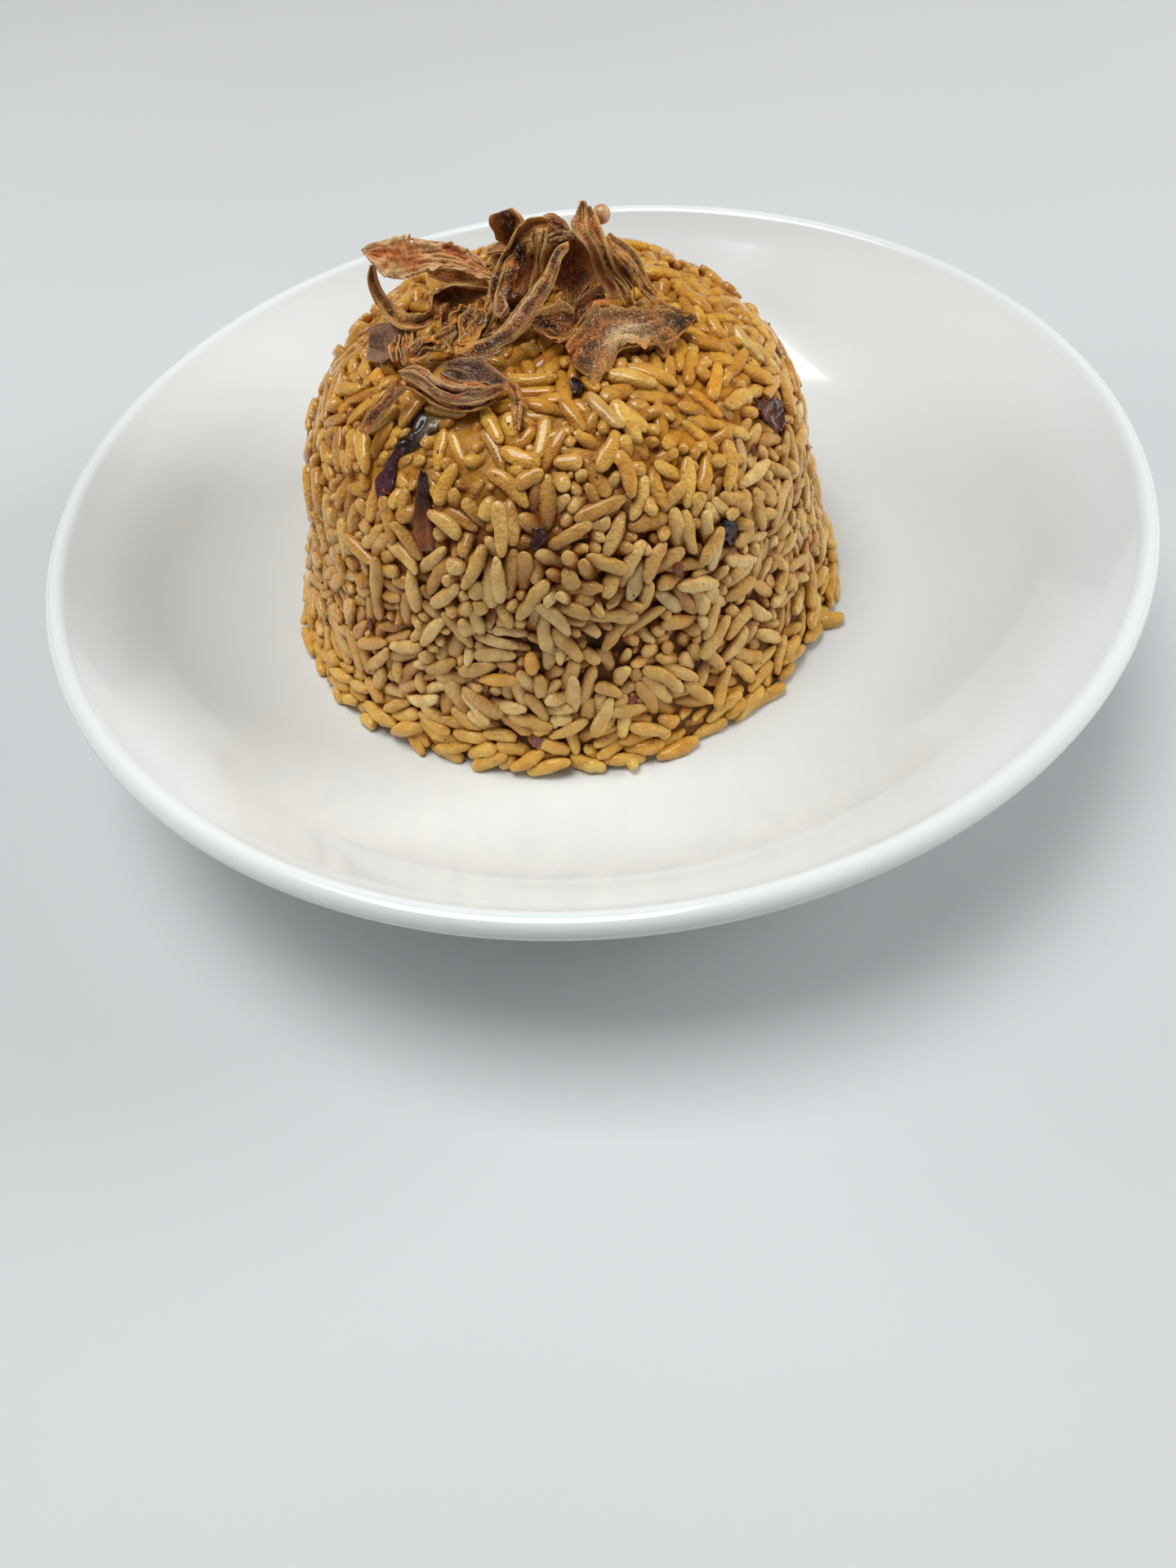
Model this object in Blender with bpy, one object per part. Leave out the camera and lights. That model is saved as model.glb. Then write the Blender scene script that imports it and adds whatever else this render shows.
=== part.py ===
# Moulded sayadiyah rice turned out into a white coupe bowl, with fried onion shreds heaped on top.
# Blender 4.5, metres, +Z up. The origin is the middle of the bowl's foot, on the table.
import math
import random

import bmesh
import bpy
from mathutils import Vector

MM = 0.001

# Bowl: a shallow coupe with a flat floor, a wall that curves up to a straight slope, and a rolled lip
BOWL_RADIUS = 105 * MM
BOWL_HEIGHT = 41 * MM
FLOOR_HEIGHT = 11 * MM
FLOOR_RADIUS = 50 * MM
WALL_BEND = 54.8 * MM
WALL_SLOPE = math.radians(42)
LIP_INNER_RADIUS = 101.2 * MM
LIP_ROLL = 1.9 * MM
WALL_THICKNESS = 4.2 * MM
FOOT_RADIUS = 54 * MM
FOOT_WIDTH = 4.5 * MM
FOOT_RECESS = 5 * MM
FOOT_FLARE = 0.6 * MM
FOOT_DRAFT = 1.2 * MM
BOWL_SIDES = 52

# Rice: pressed in a small round-bottomed bowl and turned out a little off the middle
RICE_CENTRE = Vector((-5.4 * MM, 4.2 * MM, 0))
RICE_BASE_HEIGHT = 13 * MM
RICE_HEIGHT = 58.3 * MM
RICE_BASE_RADIUS = 57.2 * MM
RICE_SHOULDER_RADIUS = 49.4 * MM
SHOULDER_DROP = 33 * MM
SHOULDER_RUN = 29.3 * MM
FOOT_TUCK = 1.5 * MM
FOOT_TUCK_BEARING = math.radians(322)
REST_GAP = 0.4 * MM

# Grains: each shows as a ridge of three points in a bed of lower ones
GRAIN_LENGTH = 8.4 * MM
GRAIN_WIDTH = 2.6 * MM
GRAIN_COUNT = 640
BED_COUNT = 1400
GRAIN_RISE = 0.45 * MM
RIDGE_REACH = (0.26, 0.34)
RIDGE_SPACING = GRAIN_WIDTH * 0.84
BED_SPACING = GRAIN_WIDTH * 0.72
BED_DROP = 1.0 * MM
TRY_COST = 0.02
SOFT_RECESS = 1.9 * MM
SKIRT_HEIGHT = 7 * MM
SKIRT_SPREAD = 1.0 * MM
EDGE_COUNT = 110
UNDERSIDE_RINGS = [(51 * MM, 44), (41 * MM, 30), (28 * MM, 20), (14 * MM, 10), (0, 1)]

# Onion: fried shreds are thin, crisp and cupped across their width
SHRED_THICKNESS = 0.6 * MM
SHRED_STEPS = 2
SOFT_THICKNESS = 0.8 * MM
BEAD_RADIUS = 1.65 * MM
BEAD_CENTRE = Vector((6.8, 5.2, 86.6)) * MM

SEED = 7

WHITE_GLAZE = (0.83, 0.84, 0.80)
COOKED_RICE = (0.50, 0.29, 0.09)
TAN = (0.36, 0.18, 0.07)
GOLD = (0.42, 0.22, 0.07)
RED = (0.42, 0.16, 0.07)
MAUVE = (0.25, 0.11, 0.08)
BROWN = (0.12, 0.045, 0.025)
CUP = (0.10, 0.04, 0.025)
FLAKE = (0.16, 0.10, 0.08)
BLACK = (0.02, 0.008, 0.012)

# A fried shred: name, colour, how far its middle bows out between its edges, and stations, in millimetres.
# A station is a point on each of the two edges: x, y and height over the table.
SHREDS = [
    ("onion_flake_left", FLAKE, -0.4,
     [(-35.6, 3.7, 72.3, -36.4, -1.5, 70.3), (-32.7, 2.8, 73.1, -33.4, -4.4, 71.1),
      (-29.7, 1.7, 73.5, -30.3, -3.6, 72.1), (-26.8, 0.5, 73.4, -27.2, -2, 72.6)]),
    ("onion_fibres_left", TAN, 0.3,
     [(-29.9, -1, 74.2, -28.3, -1.1, 74.2), (-30.2, -3.7, 73.4, -28.6, -4.4, 73.6),
      (-30.4, -7, 73, -28.7, -8, 73.2), (-29.9, -10.8, 72.8, -28.5, -10.9, 73)]),
    ("onion_leaf_inner", BROWN, -0.6,
     [(-11.3, 7.8, 76, -11.8, 5.9, 73.6), (-9.1, 6.3, 76.2, -9.5, 4.6, 73.4),
      (-6.9, 6.2, 76.4, -7.2, 4.6, 74)]),
    ("onion_leaf_under", BROWN, -0.4,
     [(-12.1, 4.2, 73.7, -13.1, -0.3, 72.7), (-9.8, 4, 74.1, -11.1, -1.1, 72.9),
      (-7.8, 3.7, 74.3, -9.2, 1, 73.3)]),
    ("onion_stub_back", BROWN, 1.3,
     [(-11.3, 12.1, 85.6, -8.1, 12.3, 86.2), (-11.5, 12.5, 84, -6.3, 10.5, 84.6),
      (-10.8, 12.9, 82, -7.4, 11.2, 82.4), (-9.9, 13.4, 80, -8.3, 12.4, 80.2),
      (-9.2, 14.3, 78, -8.2, 13.4, 78.2), (-8.5, 15.3, 74.8, -7.5, 14.7, 75),
      (-8, 15.5, 72.8, -7.2, 14.9, 73)]),
    ("onion_fold_left", GOLD, -0.4,
     [(-24.7, 16.8, 74.8, -24.5, 16, 74.4), (-22.3, 17, 75, -22.3, 15, 73.6),
      (-19.7, 16.1, 74.8, -20, 14, 73.2), (-17.1, 15.1, 74.4, -17.2, 13.1, 73),
      (-14.7, 13.7, 73.6, -14.7, 13, 73)]),
    ("onion_band_left", MAUVE, -0.3,
     [(-22.9, 3.2, 73.3, -23.3, 1.1, 72.7), (-21.1, 4, 73.5, -21.3, 0.3, 72.7),
      (-18.8, 4.1, 74.1, -19.4, 0.9, 72.9)]),
    ("onion_hood_top", BROWN, 0.8,
     [(-3.6, 9.2, 84.6, -3.1, 7.7, 83), (-2.3, 10.4, 85, -2.3, 6.7, 83), (-0.6, 9.9, 85, -0.9, 6.7, 83.2),
      (0.6, 8.1, 84.6, 0.4, 6.6, 83.4), (1.4, 6.2, 84, 1.5, 5.9, 83.6)]),
    ("onion_cup_centre", CUP, 1.6,
     [(-2.3, 4.5, 83, 3.7, 4.3, 83), (-3.9, 5.2, 80.1, 4.9, 4.1, 80.1), (-3.7, 5.7, 77.3, 4.9, 4.3, 77.3),
      (-2, 5.4, 75.6, 3.9, 3.9, 75.6), (-0.5, 4.4, 74.3, 2.4, 3.4, 74.3), (-0.1, 2.7, 73.2, 1.2, 2.4, 73.2),
      (-0.7, 0.8, 72.8, 0.1, 0.3, 72.8)]),
    ("onion_strand_back", TAN, -0.2,
     [(7.7, 4.7, 83.4, 7.2, 3.4, 83.4), (9.8, 4, 81.8, 9.1, 2.7, 81.8), (11.4, 4.3, 80, 10.6, 2.5, 80),
      (12.8, 3.7, 78.2, 11.9, 2.3, 78.2), (13.6, 2.9, 76.2, 12.8, 2, 76.2), (14.5, 2.6, 74, 13.8, 1.7, 74),
      (15.2, 2.1, 72.8, 14.7, 1.2, 72.8)]),
    ("onion_strand_right", TAN, -0.2,
     [(7, 2.5, 84, 6.3, 1.6, 84), (8.6, 1.9, 82.4, 7.8, 0.4, 82.4), (10, 1.5, 80.9, 9.1, -0.2, 80.9),
      (11.3, 1.5, 79.2, 10.4, -0.2, 79.2), (12.4, 0.9, 77.1, 11.4, -0.2, 77.1),
      (13.5, 0.6, 75.1, 12.6, -0.5, 75.1), (15.1, -0.4, 73.6, 14.2, -1.5, 73.6),
      (16.7, -1.8, 72.7, 16.1, -2.7, 72.7)]),
    ("onion_rim_top", TAN, -0.2,
     [(-2.9, 4.3, 84.4, -2.7, 3.5, 83.8), (-1, 4.4, 84.8, -1, 3.7, 84.2), (1.1, 4.1, 84.8, 1.2, 3.7, 84.2),
      (3.6, 3.6, 84.6, 3.5, 3.2, 84)]),
    ("onion_twist_centre", BROWN, -0.6,
     [(0.7, 0.5, 74, 1.3, -1.4, 73.2), (3.3, 1.7, 74.9, 3.9, -0.9, 73.7), (6, 2.8, 75.1, 6.6, 0.1, 74.1)]),
    ("onion_spike_top", RED, 0.4,
     [(3.7, 4.8, 89.5, 4.2, 4.6, 89.5), (3.1, 4.8, 87.3, 4.1, 4.5, 87.3), (2.2, 3.6, 86.1, 3.8, 2.9, 86.1),
      (2.9, 2.2, 84.7, 4.4, 2.1, 84.7), (4.2, 1.5, 83.1, 5.4, 1.4, 83.1), (4.9, 2.8, 79.9, 6.1, 2.5, 79.9),
      (5.5, 2, 77.8, 7, 1.3, 77.8), (6.6, 0.9, 76.2, 8, 0.8, 76.2), (7.2, -0.4, 74.7, 8.5, -1, 74.7)]),
    ("onion_spike_side", TAN, 0.4,
     [(4.3, 3.7, 89, 4.7, 3.6, 89), (4.3, 3.3, 87.5, 5.3, 3.6, 87.5), (4.1, 1.8, 86.5, 5.9, 1.7, 86.5),
      (4.7, 1.1, 85, 6.3, 0.7, 85), (5.7, 0.2, 83.5, 6.9, -0.6, 83.5), (6.4, 0.3, 81, 7.5, -0.2, 81),
      (7.5, 0.5, 78.3, 8.6, 0.3, 78.3), (8.4, -0.5, 76.7, 9.7, -0.5, 76.7),
      (8.9, -1.8, 75.1, 10.3, -1.7, 75.1), (9.7, -1.4, 73.6, 10.7, -1.4, 73.6)]),
    ("onion_sheet_centre", BROWN, -0.5,
     [(-7.3, -2, 74.4, -7, -4.5, 73.4), (-4.4, -1.8, 74.8, -4.7, -6.8, 72.9),
      (-1.6, -1.9, 74.8, -2.4, -8.5, 72.7), (0.5, -3.3, 74.4, -0.3, -7.4, 73)]),
    ("onion_sheet_right", BROWN, 1,
     [(-2, -13.5, 74.3, -1.2, -15.7, 72.7), (-0.5, -11, 75.4, 0.4, -16.9, 72.6),
      (1.9, -8.1, 76.4, 2, -19.7, 72.4), (5, -6.4, 76.9, 4.8, -16.3, 72.7),
      (8, -7.2, 76.2, 7.1, -13.3, 73.2), (12.2, -7, 75.8, 11.3, -12.8, 73.2),
      (16.6, -6.3, 74.8, 15.5, -12, 72.6), (19.2, -6.7, 73.8, 18.8, -9.2, 72.6),
      (20.9, -6.5, 73, 20.5, -7.1, 72.8)]),
    ("onion_hook_left", TAN, 0.5,
     [(-33.2, 8.2, 81.5, -32.5, 7.8, 81.5), (-34.1, 8.3, 79.5, -32.8, 8.3, 79.5),
      (-34.1, 8, 77, -32.4, 7.8, 77.3), (-33.3, 6.9, 75.1, -31.6, 7.4, 75.5),
      (-32, 5, 73.8, -30.3, 5.7, 74.4), (-29.7, -1.3, 75.4, -28.1, 0.3, 76.1),
      (-27.3, -2.6, 75.1, -26.3, -0.1, 75.8), (-25.1, -1, 74.3, -24.7, 1.5, 75.1),
      (-23.4, 2, 73.7, -23.6, 3.3, 74.7)]),
    ("onion_loop_left", TAN, -0.8,
     [(-24.1, 0.8, 75.6, -22.4, 1.3, 74.6), (-23.9, 1.4, 77.2, -22.2, 2.9, 75.2),
      (-22.9, 4.2, 77.3, -21.4, 6.3, 74.1), (-20.9, 4.3, 78.1, -20.1, 5.6, 74.1),
      (-18.7, 4.2, 78.2, -18.6, 5.4, 74.2), (-16.5, 3.8, 77.8, -17, 5.4, 74.6),
      (-14.5, 3.9, 77.2, -15, 5.1, 75.4), (-12.8, 3.9, 76.8, -13.1, 4, 76.2)]),
    ("onion_petal_left", RED, -0.4,
     [(-34.5, 11.1, 82.8, -34.3, 11, 82.4), (-31.3, 9.6, 84.2, -32.2, 6.5, 82.2),
      (-28.5, 11.7, 83.5, -30.6, 6.7, 80.3), (-26, 15.8, 80.9, -27.9, 10.8, 77.6),
      (-22.6, 16.2, 79.8, -24.9, 12.6, 77.2), (-19.5, 16.6, 78.8, -21.3, 13.9, 76.5),
      (-17.4, 16, 77.9, -18.2, 13.6, 75.8), (-15.5, 15.2, 77, -15, 12, 75),
      (-13.7, 13.2, 76, -13.2, 11.1, 74.6)]),
    ("onion_twig_inner", TAN, 0.1,
     [(-7.3, 10.9, 78.6, -6.8, 10.3, 78.4), (-8.6, 10.6, 77.6, -8.1, 10, 77.4),
      (-9.7, 10.2, 76.6, -9.1, 9.9, 76.4)]),
    ("onion_arch_left", TAN, 0.5,
     [(-2, 6, 86.5, -2.2, 5.7, 85), (-4.1, 6.1, 87, -3.8, 5.2, 85.2), (-6, 6, 86.6, -5.3, 5.3, 84.2),
      (-7.4, 6.8, 85, -6.7, 6.5, 82.8), (-8.9, 6.9, 82.6, -7.9, 7.1, 81.8),
      (-10.9, 7.3, 80, -9.6, 6.9, 79.6), (-12.3, 4.4, 79.4, -11, 3.8, 79),
      (-13.4, 2.9, 77.3, -12.1, 2, 76.7), (-14.5, 0.4, 75.5, -12.9, -0.9, 75.1),
      (-15.4, -0.4, 73.4, -14.1, -1.5, 73.2), (-16.5, -4.2, 73, -15.6, -4.6, 73)]),
    ("onion_curl_centre", MAUVE, 0.3,
     [(-12.3, 1.3, 77.5, -11.3, 0.7, 77.1), (-12.7, -0.7, 76.5, -10.8, -1.7, 76.1),
      (-13.1, -2.7, 75.6, -12.3, -3.6, 75.4)]),
    ("onion_strand_inner", TAN, 0.2,
     [(-5, 4.2, 85.5, -4.3, 4.3, 85.5), (-5.4, 3.9, 83.5, -4.7, 3.5, 83.5),
      (-6.1, 5.6, 79.9, -5.1, 5.1, 79.9), (-6.9, 4.5, 77.6, -5.9, 4, 77.6),
      (-7.4, 3.6, 75.8, -6.8, 3.2, 75.8), (-7.8, 2.6, 74.6, -7.4, 2.2, 74.6)]),
    ("onion_strand_fork", TAN, 0.2,
     [(-3.3, 3.8, 85.8, -2.6, 3.9, 85.8), (-4, 2.4, 84.1, -3.4, 1.9, 84.1),
      (-4.7, 3.3, 81.2, -4.1, 2.6, 81.2), (-5, 2.9, 79.1, -4.2, 2.4, 79.1)]),
    ("onion_tuft_centre", GOLD, -0.5,
     [(-17.6, 1.4, 77.2, -14.3, 1.1, 77.2), (-18.5, 0.6, 76, -14.7, -0.8, 76),
      (-19.6, -1.1, 74.7, -15.6, -3, 74.5), (-20.3, -4.5, 74, -17.4, -6.2, 74),
      (-20.6, -8.3, 73.6, -18.9, -9.1, 73.6), (-20.9, -11.2, 73, -20.1, -11.4, 73)]),
    ("onion_ribbon_left", TAN, -0.5,
     [(-28.5, -9.2, 74.7, -27.9, -11.1, 73.9), (-27, -7, 74.9, -26, -9.8, 73.7),
      (-25, -5.6, 74.8, -24.1, -7.5, 73.8), (-22.5, -5.8, 75.1, -21.9, -6.9, 74.5),
      (-19.8, -4.8, 75.8, -19.7, -5.6, 75.2)]),
    ("onion_boat_back", FLAKE, -0.6,
     [(-22.2, -13.2, 74, -23.2, -14.8, 73.6), (-19.7, -13.5, 74.6, -20.9, -16.5, 73),
      (-17, -13.9, 74.6, -18.4, -17.5, 73), (-14.8, -15.6, 74, -15.9, -18.6, 72.9),
      (-12.8, -18.3, 73.6, -13.6, -19.5, 73), (-11.5, -19.4, 73.2, -12.2, -20.1, 73)]),
    ("onion_boat_under", BROWN, -0.3,
     [(-29.4, -13.5, 72.6, -29.2, -14.5, 71.8), (-27.5, -14.7, 72.4, -26.9, -16.3, 71.3),
      (-25.5, -17.3, 72.1, -23.8, -19.6, 70.9), (-22.6, -20.2, 71.7, -21.3, -21.5, 70.8),
      (-19.8, -21.5, 71.7, -18.4, -22.4, 71), (-17, -21.9, 72, -16, -22.4, 71.6),
      (-15.1, -21.3, 72.1, -14.6, -21.6, 71.9)]),
    ("onion_boat_front", RED, 0.4,
     [(-29.8, -13.3, 73.8, -29.6, -14, 73.4), (-27.8, -13.2, 74.3, -27.5, -15.5, 73.1),
      (-25.7, -14.7, 74.7, -25.4, -18.1, 72.9), (-23.9, -17.5, 74.7, -22.5, -20.9, 72.5),
      (-21.8, -19.5, 74.4, -19.7, -22.2, 72.4), (-19.4, -20.3, 74.3, -16.9, -22.6, 72.7),
      (-16.5, -20.7, 73.7, -14.4, -21.8, 72.9), (-13.4, -20.6, 73.3, -12.7, -20.9, 73.1)]),
    ("onion_leg_left", TAN, -0.3,
     [(-30.1, -14.7, 73.7, -28.9, -16.7, 73.1), (-32.3, -15.7, 72, -30.8, -16.8, 71.6),
      (-34.8, -16, 69.9, -33.2, -17, 69.5), (-36.4, -17, 68.6, -35.1, -17.9, 68.2),
      (-37.9, -18.9, 67.4, -37, -19.6, 67)]),
    ("onion_leg_right", TAN, 0.2,
     [(-12.9, -21.1, 74.2, -13, -22.1, 73.8), (-11.4, -20.6, 74.3, -11.9, -22, 73.9),
      (-10.6, -21.4, 73.3, -11.6, -22.6, 73.3), (-10.5, -23.2, 72.2, -11.5, -23.2, 72.2),
      (-10.8, -24.7, 71.3, -11.9, -24.4, 71.3), (-11.1, -26.2, 70.5, -11.9, -26, 70.5),
      (-11.5, -27.7, 69.8, -12, -27.6, 69.8)]),
    ("onion_flap_centre", MAUVE, -0.2,
     [(-14.6, -9.8, 73.4, -13.9, -10.8, 73), (-13.5, -8.4, 73.6, -12.7, -10.3, 73.1),
      (-12.6, -8.3, 74, -11.5, -9, 73.4), (-11.3, -7.9, 74.2, -10.7, -8.2, 74)]),
    ("onion_ribbon_long", TAN, -0.4,
     [(0.8, -0.6, 85.4, 0.7, -1, 84.8), (-1.1, -1.4, 85.4, -0.8, -2.2, 84.8),
      (-2.2, -2.4, 84.4, -1.5, -3.2, 84), (-3.3, -3.7, 82.8, -2.3, -3.9, 82.4),
      (-4.9, -4.5, 81.2, -3.7, -5, 80.6), (-6.6, -5.4, 79.8, -5.4, -6.1, 79),
      (-8.8, -6.7, 78.2, -7.5, -7.6, 77.2), (-11.1, -8, 76.6, -10, -9.1, 75.6),
      (-13.6, -9, 75.4, -12.7, -9.9, 74.8), (-15.7, -9.1, 74.7, -15, -10.9, 73.7),
      (-17.6, -9, 74.4, -16.7, -11.3, 73.4), (-19.1, -10.8, 74, -18.6, -11.3, 73.8)]),
    ("onion_back_ribbon", TAN, 0.4,
     [(-18.8, 16, 73, -19.2, 17, 72.8), (-13.6, 17.7, 73.4, -14.4, 20.3, 73.2), (-9, 18, 73.8, -9, 21, 74),
      (-3.8, 17.8, 73.1, -3.2, 20.4, 73.6), (0.8, 17.2, 72.7, 1.2, 18.1, 73)]),
    ("onion_back_leaf", BROWN, -0.9,
     [(-13.5, 19.3, 75.2, -12.5, 20.8, 74.4), (-10.4, 16.4, 77.1, -8.6, 20.8, 75.4),
      (-5.9, 14.8, 77.5, -5.1, 20.2, 76), (-1.4, 13.6, 75.9, -1.6, 18.6, 75),
      (2.1, 14.8, 73.8, 1.9, 16.8, 73.6)]),
    ("onion_back_curl", TAN, 0.5,
     [(9.3, 14.9, 72.9, 9.7, 14.2, 72.8), (7.8, 14.4, 75.2, 8.2, 12.4, 74.6),
      (5.5, 13.7, 77.4, 5.3, 11.7, 76.1), (2.7, 14.4, 78.3, 2.5, 13, 76.7),
      (-0, 16.2, 77.2, 0, 15.7, 76.5)]),
    ("onion_back_strand", TAN, 0.2,
     [(13.3, 9.6, 72.8, 13.1, 9.2, 72.8), (11.8, 10.9, 74.7, 11, 9.5, 74.3),
      (9.5, 11.3, 76.4, 8.9, 9.9, 75.8), (7.3, 10.8, 77.5, 7.1, 10.4, 77.1)]),
    ("onion_back_slope", RED, 0.5,
     [(-10.8, 25.3, 72.9, -11.2, 26.2, 72.9), (-5.6, 26.8, 73, -6.4, 29.3, 72.7),
      (-0, 27.7, 73, 0, 30.2, 72.4), (5.4, 27.2, 72.4, 5.6, 28, 72.1)]),
    ("onion_back_flake", FLAKE, 0.4,
     [(1.2, 21, 73.1, 1.8, 22.5, 72.7), (4, 18, 73.2, 6.4, 22.3, 73), (8.1, 16.9, 72.8, 9.1, 18.4, 73)]),
]

# Onion cooked soft and pressed into the face of the rice, in the same form as the shreds
SOFT_PIECES = [
    ("soft_long", BLACK, 0,
     [(-28.9, -16.4, 68.8, -23.7, -20, 69.2), (-30, -18.8, 67.5, -25.5, -21.7, 68),
      (-31.5, -20.1, 66.2, -27.6, -22.8, 66.7), (-33.1, -21.2, 64.8, -31.9, -22.7, 64.6),
      (-35, -22.2, 62.8, -33.1, -23.5, 63.3), (-37, -22.8, 60.7, -33.7, -25, 61.7),
      (-37.6, -24, 59.2, -35.5, -25.6, 59.7), (-37.2, -25.2, 58.4, -36.6, -25.7, 58.5)]),
    ("soft_brown", BROWN, 0,
     [(-28.7, -26.4, 63.9, -27.9, -26.8, 64.1), (-29.5, -28, 62.3, -27.9, -28.7, 62.6),
      (-30.5, -29.7, 59.9, -28.1, -30.8, 60.6), (-31.2, -31.5, 57.2, -28.2, -33, 57.9),
      (-31.6, -33, 54.7, -28.2, -34.8, 55.3), (-30.9, -34.3, 53.2, -28.9, -35.4, 53.6)]),
    ("soft_right", BROWN, 0,
     [(29.7, -15.9, 62, 30.6, -17.5, 60.1), (31.8, -14.1, 60.8, 31.8, -18.3, 58.2),
      (34, -12.1, 59.4, 34.3, -16.4, 56.2), (35.7, -11.2, 57.5, 36, -13, 56)]),
    ("soft_chip", BLACK, 0,
     [(20.6, -35, 51.2, 22, -34, 51.3), (21.7, -35, 49.4, 24.3, -33.2, 49.1),
      (21.8, -35.6, 47.7, 23.7, -34.4, 47.1), (22.4, -35.5, 46.6, 23, -35.1, 46.4)]),
    ("soft_middle", BROWN, 0,
     [(-11.3, -38.6, 58.6, -8.9, -38.8, 58.7), (-11.7, -39.5, 57.1, -9.5, -40, 56.8),
      (-12.2, -40.2, 55.8, -11.3, -40.5, 55.5)]),
    ("soft_foot", BROWN, 0,
     [(-16.8, -49.9, 19.6, -14.9, -50.3, 19.6), (-17.2, -50.4, 17.7, -15.3, -50.9, 17.6)]),
    ("soft_top", BLACK, 0,
     [(-1.7, -16.2, 71.3, 0.2, -17.4, 71.2), (-1.8, -18.8, 71.1, -0.1, -19.4, 71),
      (-1.7, -20.3, 70.9, -0.8, -20.6, 70.8)]),
]


def clear_scene():
    for obj in list(bpy.data.objects):
        bpy.data.objects.remove(obj)


def make_material(name, colour, roughness):
    material = bpy.data.materials.new(name)
    material.use_nodes = True
    shader = material.node_tree.nodes["Principled BSDF"]
    shader.inputs["Base Color"].default_value = (*colour, 1)
    shader.inputs["Roughness"].default_value = roughness
    shader.inputs["Metallic"].default_value = 0
    return material


def add_object(name, bm, material, smooth_angle=None):
    """Turns a bmesh into a named object with its faces pointing out."""
    mesh = bpy.data.meshes.new(name)
    bmesh.ops.recalc_face_normals(bm, faces=bm.faces)
    bm.to_mesh(mesh)
    bm.free()
    mesh.materials.append(material)
    if smooth_angle:
        mesh.shade_smooth()
        mesh.set_sharp_from_angle(angle=smooth_angle)
    obj = bpy.data.objects.new(name, mesh)
    bpy.context.scene.collection.objects.link(obj)
    return obj


def bowl_inside_height(radius):
    """Height of the bowl's inner face at a distance from its axis."""
    if radius <= FLOOR_RADIUS:
        return FLOOR_HEIGHT
    bend_end = FLOOR_RADIUS + WALL_BEND * math.sin(WALL_SLOPE)
    if radius <= bend_end:
        return FLOOR_HEIGHT + WALL_BEND - math.sqrt(WALL_BEND**2 - (radius - FLOOR_RADIUS) ** 2)
    height_at_end = FLOOR_HEIGHT + WALL_BEND * (1 - math.cos(WALL_SLOPE))
    lip_height = BOWL_HEIGHT - LIP_ROLL * 0.6
    share = (radius - bend_end) / (LIP_INNER_RADIUS - bend_end)
    return height_at_end + share * (lip_height - height_at_end)


def bowl_profile():
    """Half of the bowl's section, from the middle of the floor over the lip to the middle of the foot."""
    bend_steps = 5
    lip_steps = 5
    points = [(0, FLOOR_HEIGHT)]
    for step in range(bend_steps + 1):
        radius = FLOOR_RADIUS + WALL_BEND * math.sin(WALL_SLOPE * step / bend_steps)
        points.append((radius, bowl_inside_height(radius)))
    points.append((LIP_INNER_RADIUS, bowl_inside_height(LIP_INNER_RADIUS)))
    lip_centre = (BOWL_RADIUS - LIP_ROLL, BOWL_HEIGHT - LIP_ROLL)
    for step in range(lip_steps):
        angle = math.radians(120 - 155 * step / (lip_steps - 1))
        radius = lip_centre[0] + LIP_ROLL * math.cos(angle)
        points.append((radius, lip_centre[1] + LIP_ROLL * math.sin(angle)))
    for step in (0, 1, 3, 5):
        bend = WALL_SLOPE * (1 - step / bend_steps)
        radius = FLOOR_RADIUS + (WALL_BEND + WALL_THICKNESS) * math.sin(bend)
        height = FLOOR_HEIGHT + WALL_BEND - (WALL_BEND + WALL_THICKNESS) * math.cos(bend)
        if radius > FOOT_RADIUS + FOOT_WIDTH / 2:
            points.append((radius, height))
    points += [
        (FOOT_RADIUS + FOOT_FLARE, FOOT_RECESS * 0.7),
        (FOOT_RADIUS, 0),
        (FOOT_RADIUS - FOOT_WIDTH, 0),
        (FOOT_RADIUS - FOOT_WIDTH - FOOT_DRAFT, FOOT_RECESS),
        (0, FOOT_RECESS),
    ]
    return points


def make_bowl():
    bm = bmesh.new()
    verts = [bm.verts.new((radius, 0, height)) for radius, height in bowl_profile()]
    profile = verts + [bm.edges.new(pair) for pair in zip(verts, verts[1:])]
    turn = {"cent": (0, 0, 0), "axis": (0, 0, 1), "angle": math.tau, "steps": BOWL_SIDES}
    bmesh.ops.spin(bm, geom=profile, use_merge=True, **turn)
    bmesh.ops.remove_doubles(bm, verts=bm.verts, dist=0.01 * MM)
    add_object("bowl", bm, make_material("glaze", WHITE_GLAZE, 0.12), math.radians(40))


def rice_outline(steps=60):
    """The pressed form's outline, middle of the top to the foot, as (radius, height above the foot)."""
    flat = RICE_SHOULDER_RADIUS - SHOULDER_RUN
    shoulder_height = RICE_HEIGHT - SHOULDER_DROP
    points = [(flat * k / 8, RICE_HEIGHT) for k in range(8)]
    for k in range(steps + 1):
        angle = math.pi / 2 * k / steps
        radius = flat + SHOULDER_RUN * math.sin(angle)
        points.append((radius, shoulder_height + SHOULDER_DROP * math.cos(angle)))
    for k in range(1, 25):
        share = k / 24
        spread = RICE_BASE_RADIUS - RICE_SHOULDER_RADIUS
        points.append((RICE_SHOULDER_RADIUS + spread * share, shoulder_height * (1 - share)))
    return points


OUTLINE = rice_outline()


def foot_tuck(bearing):
    """How far the foot of the rice draws in at a bearing, as the form left it a little uneven."""
    return FOOT_TUCK * max(0, math.cos(bearing - FOOT_TUCK_BEARING))


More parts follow.
